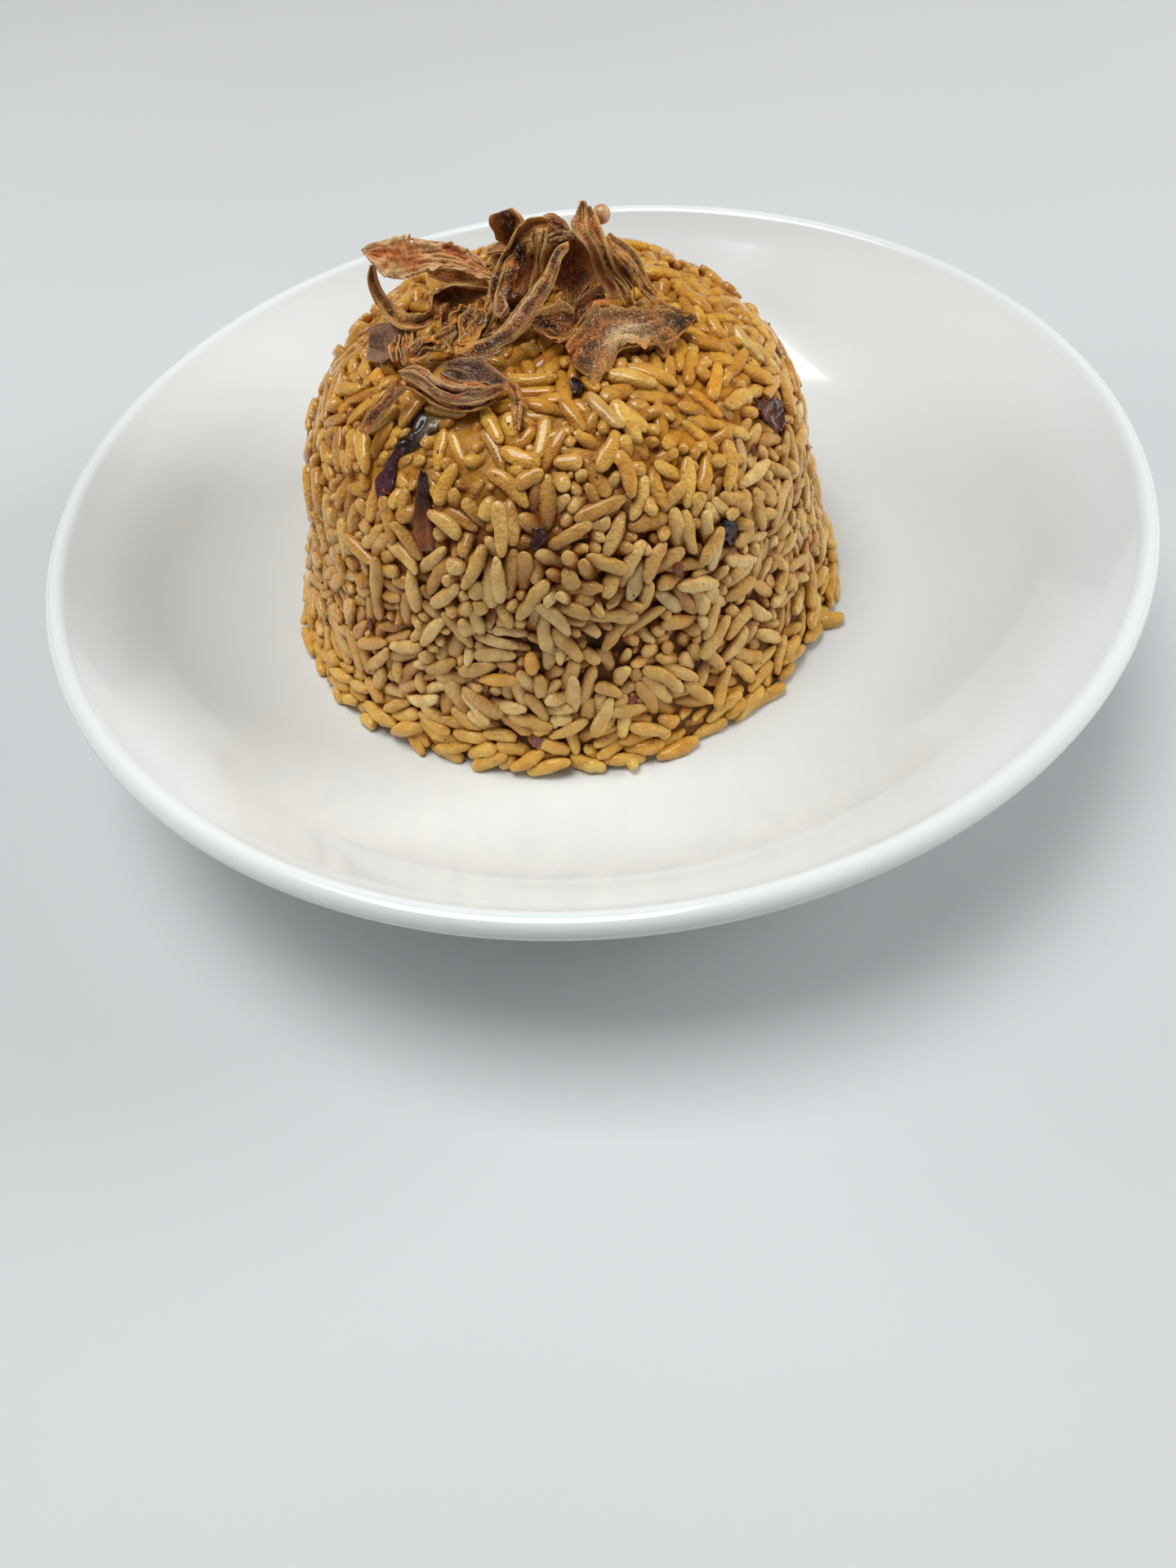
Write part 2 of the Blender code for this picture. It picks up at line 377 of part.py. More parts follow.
def rice_surface(bearing, place):
    """A point of the pressed face and its outward normal. Place runs from 0 at the top to 1 at the foot."""
    at = min(max(place, 0), 1) * (len(OUTLINE) - 1)
    k = min(int(at), len(OUTLINE) - 2)
    (r0, z0), (r1, z1) = OUTLINE[k], OUTLINE[k + 1]
    radius = r0 + (r1 - r0) * (at - k)
    height = z0 + (z1 - z0) * (at - k)
    radius -= foot_tuck(bearing) * max(0, 1 - height / (RICE_HEIGHT - SHOULDER_DROP))
    out = Vector((math.cos(bearing), math.sin(bearing), 0))
    normal = (out * (z0 - z1) + Vector((0, 0, 1)) * (r1 - r0)).normalized()
    return RICE_CENTRE + out * radius + Vector((0, 0, RICE_BASE_HEIGHT + height)), normal


class NearPoints:
    """Points in a grid of cells, to find quickly whether one lies within a distance."""

    def __init__(self, distance):
        self.distance = distance
        self.cells = {}

    def cell(self, point):
        return tuple(math.floor(value / self.distance) for value in point)

    def add(self, point):
        self.cells.setdefault(self.cell(point), []).append(point)

    def is_free(self, point):
        i, j, k = self.cell(point)
        for a in (i - 1, i, i + 1):
            for b in (j - 1, j, j + 1):
                for c in (k - 1, k, k + 1):
                    for other in self.cells.get((a, b, c), ()):
                        if (other - point).length < self.distance:
                            return False
        return True


def random_place(rng):
    """A place on the pressed face, drawn evenly by area. No stretch of it has the largest area."""
    largest_area = 0.12 * MM
    while True:
        place = rng.random()
        k = min(int(place * (len(OUTLINE) - 1)), len(OUTLINE) - 2)
        (r0, z0), (r1, z1) = OUTLINE[k], OUTLINE[k + 1]
        area = (r0 + r1) * math.hypot(r1 - r0, z1 - z0)
        if rng.random() * largest_area < area:
            return rng.uniform(0, math.tau), place


def smooth_line(points, steps):
    """A Catmull-Rom curve through the points, with this many steps between two of them."""
    padded = [points[0] * 2 - points[1], *points, points[-1] * 2 - points[-2]]
    line = []
    for a, b, c, d in zip(padded, padded[1:], padded[2:], padded[3:]):
        for k in range(steps):
            t = k / steps
            bend = (2 * a - 5 * b + 4 * c - d) * t * t + (3 * b - a - 3 * c + d) * t**3
            line.append(0.5 * (2 * b + (c - a) * t + bend))
    line.append(points[-1])
    return line


def edges_of(piece):
    """The two edges of a shred as smooth lines."""
    stations = piece[3]
    left = smooth_line([Vector(station[:3]) * MM for station in stations], SHRED_STEPS)
    right = smooth_line([Vector(station[3:]) * MM for station in stations], SHRED_STEPS)
    return left, right


SOFT_EDGES = [edges_of(piece) for piece in SOFT_PIECES]


def under_soft_piece(point):
    """True where a soft piece lies on the rice, which is pressed in there."""
    for left, right in SOFT_EDGES:
        for a, b in zip(left, right):
            if (point - (a + b) / 2).length < (a - b).length / 2 + 2 * MM:
                return True
    return False


def grain_bumps(rng):
    """Points of the bumpy face: a ridge of three for each grain, and lower ones that fill the bed between.

    A place that is taken counts as a small part of a grain, so that the search ends.
    """
    near = NearPoints(RIDGE_SPACING)
    found = []
    grains = 0
    while grains < GRAIN_COUNT:
        bearing, place = random_place(rng)
        middle, normal = rice_surface(bearing, place)
        side = normal.cross(Vector((0, 0, 1)))
        if side.length < 1e-3:
            side = Vector((1, 0, 0))
        side.normalize()
        turn = rng.uniform(0, math.pi)
        along = side * math.cos(turn) + normal.cross(side) * math.sin(turn)
        reach = GRAIN_LENGTH * rng.uniform(*RIDGE_REACH)
        ridge = []
        for share in (-1, 0, 1):
            spot = middle + along * reach * share
            if spot.z < RICE_BASE_HEIGHT + 0.6 * MM:
                break
            rise = GRAIN_RISE if share == 0 else GRAIN_RISE * 0.1
            ridge.append((spot, normal, rise + rng.uniform(-0.25, 0.25) * MM))
        if len(ridge) < 3 or not all(near.is_free(spot) for spot, _, _ in ridge):
            grains += TRY_COST
            continue
        grains += 1
        for spot, _, _ in ridge:
            near.add(spot)
        found += ridge
    bed = NearPoints(BED_SPACING)
    for spot, _, _ in found:
        bed.add(spot)
    filled = 0
    while filled < BED_COUNT:
        spot, normal = rice_surface(*random_place(rng))
        if not bed.is_free(spot):
            filled += TRY_COST
            continue
        bed.add(spot)
        found.append((spot, normal, -BED_DROP + rng.uniform(-0.3, 0.3) * MM))
        filled += 1
    return found


def underside_points(rng):
    """The foot's uneven edge, where grains spread on the bowl, and rings of points under the rice."""
    found = []
    for k in range(EDGE_COUNT):
        bearing = math.tau * (k + rng.uniform(-0.3, 0.3)) / EDGE_COUNT
        radius = RICE_BASE_RADIUS + (SKIRT_SPREAD * rng.uniform(0.1, 1) if k % 2 else -0.4 * MM)
        found.append((bearing, radius - foot_tuck(bearing)))
    for radius, count in UNDERSIDE_RINGS:
        for k in range(count):
            found.append((math.tau * k / count, radius))
    points = []
    for bearing, radius in found:
        x = RICE_CENTRE.x + radius * math.cos(bearing)
        y = RICE_CENTRE.y + radius * math.sin(bearing)
        points.append(Vector((x, y, bowl_inside_height(math.hypot(x, y)) + REST_GAP)))
    return points


def make_rice():
    rng = random.Random(SEED)
    surface = []
    for spot, normal, rise in grain_bumps(rng):
        if under_soft_piece(spot):
            rise = -SOFT_RECESS
        skirt = max(0, 1 - (spot.z - RICE_BASE_HEIGHT) / SKIRT_HEIGHT)
        outward = Vector((spot.x - RICE_CENTRE.x, spot.y - RICE_CENTRE.y, 0)).normalized()
        surface.append((spot, spot + normal * rise + outward * SKIRT_SPREAD * 0.5 * skirt))
    surface += [(point, point) for point in underside_points(rng)]
    # From a point inside, the surface has one height in each direction, so a ball's hull gives its faces
    centre = RICE_CENTRE + Vector((0, 0, RICE_BASE_HEIGHT + RICE_HEIGHT * 0.38))
    bm = bmesh.new()
    places = {}
    for index, (spot, _) in enumerate(surface):
        places[bm.verts.new((spot - centre).normalized())] = index
    hull = bmesh.ops.convex_hull(bm, input=bm.verts)
    inside = hull["geom_interior"] + hull["geom_unused"]
    unused = {item for item in inside if isinstance(item, bmesh.types.BMVert)}
    bmesh.ops.delete(bm, geom=list(unused), context="VERTS")
    for vert in bm.verts:
        vert.co = surface[places[vert]][1]
    add_object("rice", bm, make_material("cooked_rice", COOKED_RICE, 0.45))


def make_strip(piece, thickness):
    """A thin solid between two edges. Both of its faces are split into triangles alike."""
    name, colour, bow, _ = piece
    left, right = edges_of(piece)
    last = len(left) - 1
    widest = max((a - b).length for a, b in zip(left, right))
    bm = bmesh.new()
    rings = []
    for index, (a, b) in enumerate(zip(left, right)):
        before = max(index - 1, 0)
        after = min(index + 1, last)
        ahead = left[after] + right[after] - left[before] - right[before]
        normal = (b - a).cross(ahead).normalized()
        middle = (a + b) / 2 + normal * bow * MM * (a - b).length / widest
        half = normal * thickness / 2
        top = [bm.verts.new(p + half) for p in (a, middle, b)]
        low = [bm.verts.new(p - half) for p in (a, middle, b)]
        rings.append((top, low))
    for (top0, low0), (top1, low1) in zip(rings, rings[1:]):
        for k in (0, 1):
            bm.faces.new((top0[k], top0[k + 1], top1[k + 1]))
            bm.faces.new((top0[k], top1[k + 1], top1[k]))
            bm.faces.new((low0[k], low1[k + 1], low0[k + 1]))
            bm.faces.new((low0[k], low1[k], low1[k + 1]))
        for k in (0, 2):
            bm.faces.new((top0[k], top1[k], low1[k]))
            bm.faces.new((top0[k], low1[k], low0[k]))
    for top, low in (rings[0], rings[-1]):
        for k in (0, 1):
            bm.faces.new((top[k], low[k], low[k + 1]))
            bm.faces.new((top[k], low[k + 1], top[k + 1]))
    add_object(name, bm, make_material(name, colour, 0.5))


def make_bead():
    """A small round scrap of crisp onion caught at the top of the heap."""
    bm = bmesh.new()
    bmesh.ops.create_icosphere(bm, subdivisions=2, radius=BEAD_RADIUS)
    bmesh.ops.translate(bm, verts=bm.verts, vec=BEAD_CENTRE)
    add_object("onion_bead", bm, make_material("onion_bead", TAN, 0.3), math.radians(40))


def main():
    clear_scene()
    make_bowl()
    make_rice()
    for piece in SHREDS:
        make_strip(piece, SHRED_THICKNESS)
    for piece in SOFT_PIECES:
        make_strip(piece, SOFT_THICKNESS)
    make_bead()


main()
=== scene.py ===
# %% [markdown]
# # Moulded rice with fried onion, in its white bowl
# The object is a dome of spiced rice turned out of a small round form, a tangle of crisp fried onion on top
# of it, and the shallow glazed bowl that they are served in. The solid model gives every place and size.
# This script gives each piece the surface that it has on the table: glazed china, moist grains, brittle
# brown onion.

# %% Tools and the fixed frame
import math
import random

import bpy
import numpy as np
from mathutils import Matrix, Vector, noise


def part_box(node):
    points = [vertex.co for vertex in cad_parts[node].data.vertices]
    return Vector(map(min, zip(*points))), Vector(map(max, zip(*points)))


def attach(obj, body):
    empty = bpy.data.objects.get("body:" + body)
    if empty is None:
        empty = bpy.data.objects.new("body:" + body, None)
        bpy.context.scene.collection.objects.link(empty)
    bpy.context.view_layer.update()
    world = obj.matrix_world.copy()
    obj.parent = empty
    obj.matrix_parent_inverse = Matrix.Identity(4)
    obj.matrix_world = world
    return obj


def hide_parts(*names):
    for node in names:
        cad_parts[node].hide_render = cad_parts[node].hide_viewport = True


MM = 0.001
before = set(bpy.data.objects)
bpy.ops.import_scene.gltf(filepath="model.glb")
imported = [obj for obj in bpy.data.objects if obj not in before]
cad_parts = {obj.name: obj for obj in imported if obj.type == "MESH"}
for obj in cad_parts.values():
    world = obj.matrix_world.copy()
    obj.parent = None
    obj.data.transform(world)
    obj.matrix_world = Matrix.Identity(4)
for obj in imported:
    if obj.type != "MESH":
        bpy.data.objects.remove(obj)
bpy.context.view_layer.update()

# %% [markdown]
# ## Small helpers
# Operators act on whatever is selected, and the solids arrive selected. So each step starts with nothing
# selected, and a new piece is made the only active one before its modifiers are applied. Meshes with many
# points are read and moved as arrays.

# %% Selecting, applying and moving points
def select_only(*pieces):
    bpy.ops.object.select_all(action="DESELECT")
    for piece in pieces:
        piece.select_set(True)
    bpy.context.view_layer.objects.active = pieces[0] if pieces else None


def apply_modifiers(piece):
    select_only(piece)
    for modifier in list(piece.modifiers):
        bpy.ops.object.modifier_apply(modifier=modifier.name)
    return piece


def name_piece(name):
    """The active object under its final name, with its place moved from the object into its mesh."""
    piece = bpy.context.object
    piece.name = piece.data.name = name
    select_only(piece)
    bpy.ops.object.transform_apply(location=True, rotation=True, scale=True)
    return piece


def points_of(piece):
    """The points of a mesh as an array of three columns."""
    points = np.empty(len(piece.data.vertices) * 3)
    piece.data.vertices.foreach_get("co", points)
    return points.reshape(-1, 3)


def move_points(piece, points):
    piece.data.vertices.foreach_set("co", points.ravel())


def keep_value(mesh, name, values):
    """Puts one number on each point, for the material to read."""
    mesh.attributes.new(name, "FLOAT", "POINT").data.foreach_set("value", values.astype(np.float32))


def name_number(name):
    """A number worked out from a name. It shifts the noise, so that pieces with the same look differ."""
    return sum(map(ord, name))


select_only()

# %% [markdown]
# ## A way to write materials
# A finish is a Principled surface with a few other nodes in front of it. Sums in a material read best as
# sums, so Tone wraps one output of a node and knows sums, differences, products and powers. Every other
# node but the mixing of two colours comes from Finish.add.

# %% Finishes written as sums
class Tone:
    """One output of a shader node. Sums on it add Math nodes."""

    def __init__(self, finish, socket):
        self.finish = finish
        self.socket = socket

    def maths(self, operation, *others, flipped=False):
        values = [*others, self] if flipped else [self, *others]
        return self.finish.add("ShaderNodeMath", {"operation": operation}, dict(enumerate(values)))

    def __add__(self, other):
        return self.maths("ADD", other)

    def __sub__(self, other):
        return self.maths("SUBTRACT", other)

    def __mul__(self, other):
        return self.maths("MULTIPLY", other)

    def __rsub__(self, other):
        return self.maths("SUBTRACT", other, flipped=True)

    def __pow__(self, other):
        return self.maths("POWER", other)

    __radd__ = __add__

    def between(self, low, high):
        """0 up to low, 1 from high, and an even slope from one to the other."""
        return self.finish.add("ShaderNodeMapRange", {"clamp": True}, {0: self, 1: low, 2: high})


class Finish:
    """A material: its fixed values, and the nodes that vary them over the surface."""

    def __init__(self, name, **fixed):
        self.material = bpy.data.materials.new(name)
        self.material.use_nodes = True
        self.tree = self.material.node_tree
        self.surface = self.tree.nodes["Principled BSDF"]
        for socket, value in fixed.items():
            self.surface.inputs[socket.replace("_", " ")].default_value = value

    def add(self, kind, settings=None, sockets=None, output=0):
        node = self.tree.nodes.new(kind)
        for name, value in (settings or {}).items():
            if name == "stops":
                self.set_stops(node.color_ramp, value)
            else:
                setattr(node, name, value)
        for name, value in (sockets or {}).items():
            if isinstance(value, Tone):
                self.tree.links.new(value.socket, node.inputs[name])
            else:
                node.inputs[name].default_value = value
        return Tone(self, node.outputs[output])

    @staticmethod
    def set_stops(ramp, stops):
        while len(ramp.elements) < len(stops):
            ramp.elements.new(0.5)
        for element, (place, colour) in zip(ramp.elements, stops):
            element.position = place
            element.color = (*colour, 1)

    def place(self):
        """A point of the surface in the object's own coordinates, in metres."""
        return self.add("ShaderNodeTexCoord", output="Object")

    def stretched(self, vector, factors):
        """The same vector, multiplied on each axis by its own factor."""
        return self.add("ShaderNodeVectorMath", {"operation": "MULTIPLY"}, {0: vector, 1: factors})

    def part_of(self, vector, axis):
        return self.add("ShaderNodeSeparateXYZ", None, {0: vector}, output=axis)

    def attribute(self, name, output="Fac"):
        """A value that rides on the points: its number, or with another output its colour or alpha."""
        return self.add("ShaderNodeAttribute", {"attribute_name": name}, output=output)

    def cloud(self, vector, size, detail=3.0, roughness=0.5):
        """Soft noise with lumps of about this size."""
        sockets = {"Vector": vector, "Scale": 1 / size, "Detail": detail, "Roughness": roughness}
        return self.add("ShaderNodeTexNoise", None, sockets, output="Fac")

    def ramp(self, tone, stops):
        return self.add("ShaderNodeValToRGB", {"stops": stops}, {"Fac": tone}, output="Color")

    def blend(self, factor, first, second, how="MIX"):
        """The first colour where the factor is 0, turning into the second where it is 1."""
        node = self.tree.nodes.new("ShaderNodeMix")
        node.data_type = "RGBA"
        node.blend_type = how
        for socket, value in ((node.inputs[0], factor), (node.inputs[6], first), (node.inputs[7], second)):
            if isinstance(value, Tone):
                self.tree.links.new(value.socket, socket)
            else:
                socket.default_value = value if isinstance(value, (int, float)) else (*value, 1)
        return Tone(self, node.outputs[2])

    def bump(self, height, depth, strength=1.0):
        """Low relief of the given depth in metres, for what is finer than the mesh."""
        sockets = {"Height": height, "Distance": depth, "Strength": strength}
        return self.add("ShaderNodeBump", None, sockets, output="Normal")

    def wear(self, **links):
        """Joins tones to the surface's sockets and gives back the finished material."""
        for socket, tone in links.items():
            self.tree.links.new(tone.socket, self.surface.inputs[socket.replace("_", " ")])
        return self.material


# %% [markdown]
# ## The camera
# The photo looks down on the dish at about fifty degrees, a little from the front, and the phone is turned
# seven degrees on its own axis. The camera stands in the same place with the same lens, so one can be laid
# on the other.

# %% Camera at the photo's angle
CAMERA_PLACE = Vector((-0.0075, -0.1905, 0.1826))
CAMERA_PITCH = math.radians(38.3)
CAMERA_ROLL = math.radians(7.31)
LENS_PIXELS = 1442
PICTURE_HEIGHT = 1920
SENSOR_WIDTH = 36

camera = bpy.data.objects.new("camera", bpy.data.cameras.new("camera"))
camera.data.sensor_width = SENSOR_WIDTH
camera.data.lens = LENS_PIXELS / PICTURE_HEIGHT * SENSOR_WIDTH
camera.data.clip_start = 0.01
turned = Matrix.Rotation(CAMERA_PITCH, 4, "X") @ Matrix.Rotation(-CAMERA_ROLL, 4, "Z")
camera.matrix_world = Matrix.Translation(CAMERA_PLACE) @ turned
bpy.context.scene.collection.objects.link(camera)
bpy.context.scene.camera = camera
print("camera", [round(value, 3) for value in camera.location], "lens", round(camera.data.lens, 1), "mm")

# %% [markdown]
# ## The bowl
# A potter's jigger turns a coupe bowl from one outline, and Blender's spin does the same. The outline runs
# from the middle of the floor up the wall, over the rolled lip, and down the outside to the foot ring. The
# solid has 52 sides, which show as corners on the lip, so a smooth bowl of the same outline takes its
# place.

# %% The bowl's outline
_, bowl_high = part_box("bowl")
BOWL_RADIUS = bowl_high.x
BOWL_HEIGHT = 41 * MM
FLOOR_HEIGHT = 11 * MM
FLOOR_RADIUS = 50 * MM
WALL_BEND = 54.8 * MM
WALL_SLOPE = math.radians(42)
WALL_THICKNESS = 4.2 * MM
LIP_INNER_RADIUS = 100.6 * MM
LIP_ROLL = 2.2 * MM
LIP_DROP = 1.9 * MM
FOOT_RADIUS = 54 * MM
FOOT_WIDTH = 4.5 * MM
FOOT_RECESS = 5 * MM
BOWL_SIDES = 224
LIP_START, LIP_END = 150, -40
BACK_END = -84
FLOOR_STEPS, BEND_STEPS, WALL_STEPS, LIP_STEPS, BACK_STEPS = 10, 26, 8, 14, 22


def bowl_inside_height(radius):
    """Height of the inner face at a distance from the axis. It takes one number or an array."""
    bend_end = FLOOR_RADIUS + WALL_BEND * math.sin(WALL_SLOPE)
    in_bend = np.clip(radius, FLOOR_RADIUS, bend_end) - FLOOR_RADIUS
    bend = WALL_BEND - np.sqrt(WALL_BEND**2 - in_bend**2)
    rise = BOWL_HEIGHT - LIP_DROP - FLOOR_HEIGHT - WALL_BEND * (1 - math.cos(WALL_SLOPE))
    slope = np.maximum(radius - bend_end, 0) * rise
    return FLOOR_HEIGHT + bend + slope / (LIP_INNER_RADIUS - bend_end)


def arc(centre, radius, start, end, steps):
    """Points along an arc of the outline, with angles in degrees."""
    angles = [math.radians(start + (end - start) * step / steps) for step in range(steps + 1)]
    return [(centre[0] + radius * math.cos(angle), centre[1] + radius * math.sin(angle)) for angle in angles]


def bowl_outline():
    bend_centre = (FLOOR_RADIUS, FLOOR_HEIGHT + WALL_BEND)
    slope = math.degrees(WALL_SLOPE)
    points = [(FLOOR_RADIUS * step / FLOOR_STEPS, FLOOR_HEIGHT) for step in range(FLOOR_STEPS)]
    points += arc(bend_centre, WALL_BEND, -90, -90 + slope, BEND_STEPS)
    bend_end = points[-1][0]
    for step in range(1, WALL_STEPS):
        radius = bend_end + (LIP_INNER_RADIUS - bend_end) * step / WALL_STEPS
        points.append((radius, float(bowl_inside_height(radius))))
    lip_centre = (BOWL_RADIUS - LIP_ROLL, BOWL_HEIGHT - LIP_ROLL)
    points += arc(lip_centre, LIP_ROLL, LIP_START, LIP_END, LIP_STEPS)
    points += arc(bend_centre, WALL_BEND + WALL_THICKNESS, -90 + slope, BACK_END, BACK_STEPS)
    foot_inside = FOOT_RADIUS - FOOT_WIDTH
    points += [
        (FOOT_RADIUS + 0.9 * MM, FOOT_RECESS * 0.75),
        (FOOT_RADIUS + 0.1 * MM, 0.5 * MM),
        (FOOT_RADIUS - 0.6 * MM, 0),
        (foot_inside + 0.6 * MM, 0),
        (foot_inside - 0.1 * MM, 0.5 * MM),
        (foot_inside - 1.2 * MM, FOOT_RECESS * 0.85),
        (foot_inside - 2.2 * MM, FOOT_RECESS),
        (0, FOOT_RECESS),
    ]
    return points


# %% Spinning the bowl
def spin_outline(name, outline, sides):
    """A turned piece: a line of points in the XZ plane, spun once round the Z axis."""
    mesh = bpy.data.meshes.new(name)
    points = [(radius, 0, height) for radius, height in outline]
    mesh.from_pydata(points, [(step, step + 1) for step in range(len(points) - 1)], [])
    piece = bpy.data.objects.new(name, mesh)
    bpy.context.scene.collection.objects.link(piece)
    select_only(piece)
    bpy.ops.object.mode_set(mode="EDIT")
    bpy.ops.mesh.select_all(action="SELECT")
    bpy.ops.mesh.spin(steps=sides, angle=math.tau, center=(0, 0, 0), axis=(0, 0, 1))
    bpy.ops.mesh.select_all(action="SELECT")
    bpy.ops.mesh.remove_doubles(threshold=0.00001)
    bpy.ops.mesh.normals_make_consistent(inside=False)
    bpy.ops.object.mode_set(mode="OBJECT")
    piece.data.shade_smooth()
    return piece


bowl = spin_outline("glazed_bowl", bowl_outline(), BOWL_SIDES)
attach(bowl, "root")
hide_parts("bowl")
print("bowl:", len(bowl.data.polygons), "faces,", round(max(bowl.dimensions) * 1000, 1), "mm across")

# %% [markdown]
# ## White glaze
# Hotel china is a white body under a clear glaze a third of a millimetre deep. The glaze is smooth to the
# touch but never flat: it pulls into very low, wide waves, which break the edges of a reflection.

# %% Glaze
glaze = Finish("white_glaze", Roughness=0.16, Coat_Weight=0.5, Coat_Roughness=0.05, Specular_IOR_Level=0.5)
glaze_place = glaze.place()
waves = glaze.cloud(glaze_place, 14 * MM, 2.0)
tint = glaze.cloud(glaze_place, 60 * MM, 2.0)
glaze_colour = glaze.ramp(tint, [(0.3, (0.785, 0.82, 0.815)), (0.7, (0.815, 0.85, 0.85))])
bowl.data.materials.append(glaze.wear(Base_Color=glaze_colour, Normal=glaze.bump(waves, 0.12 * MM, 0.5)))
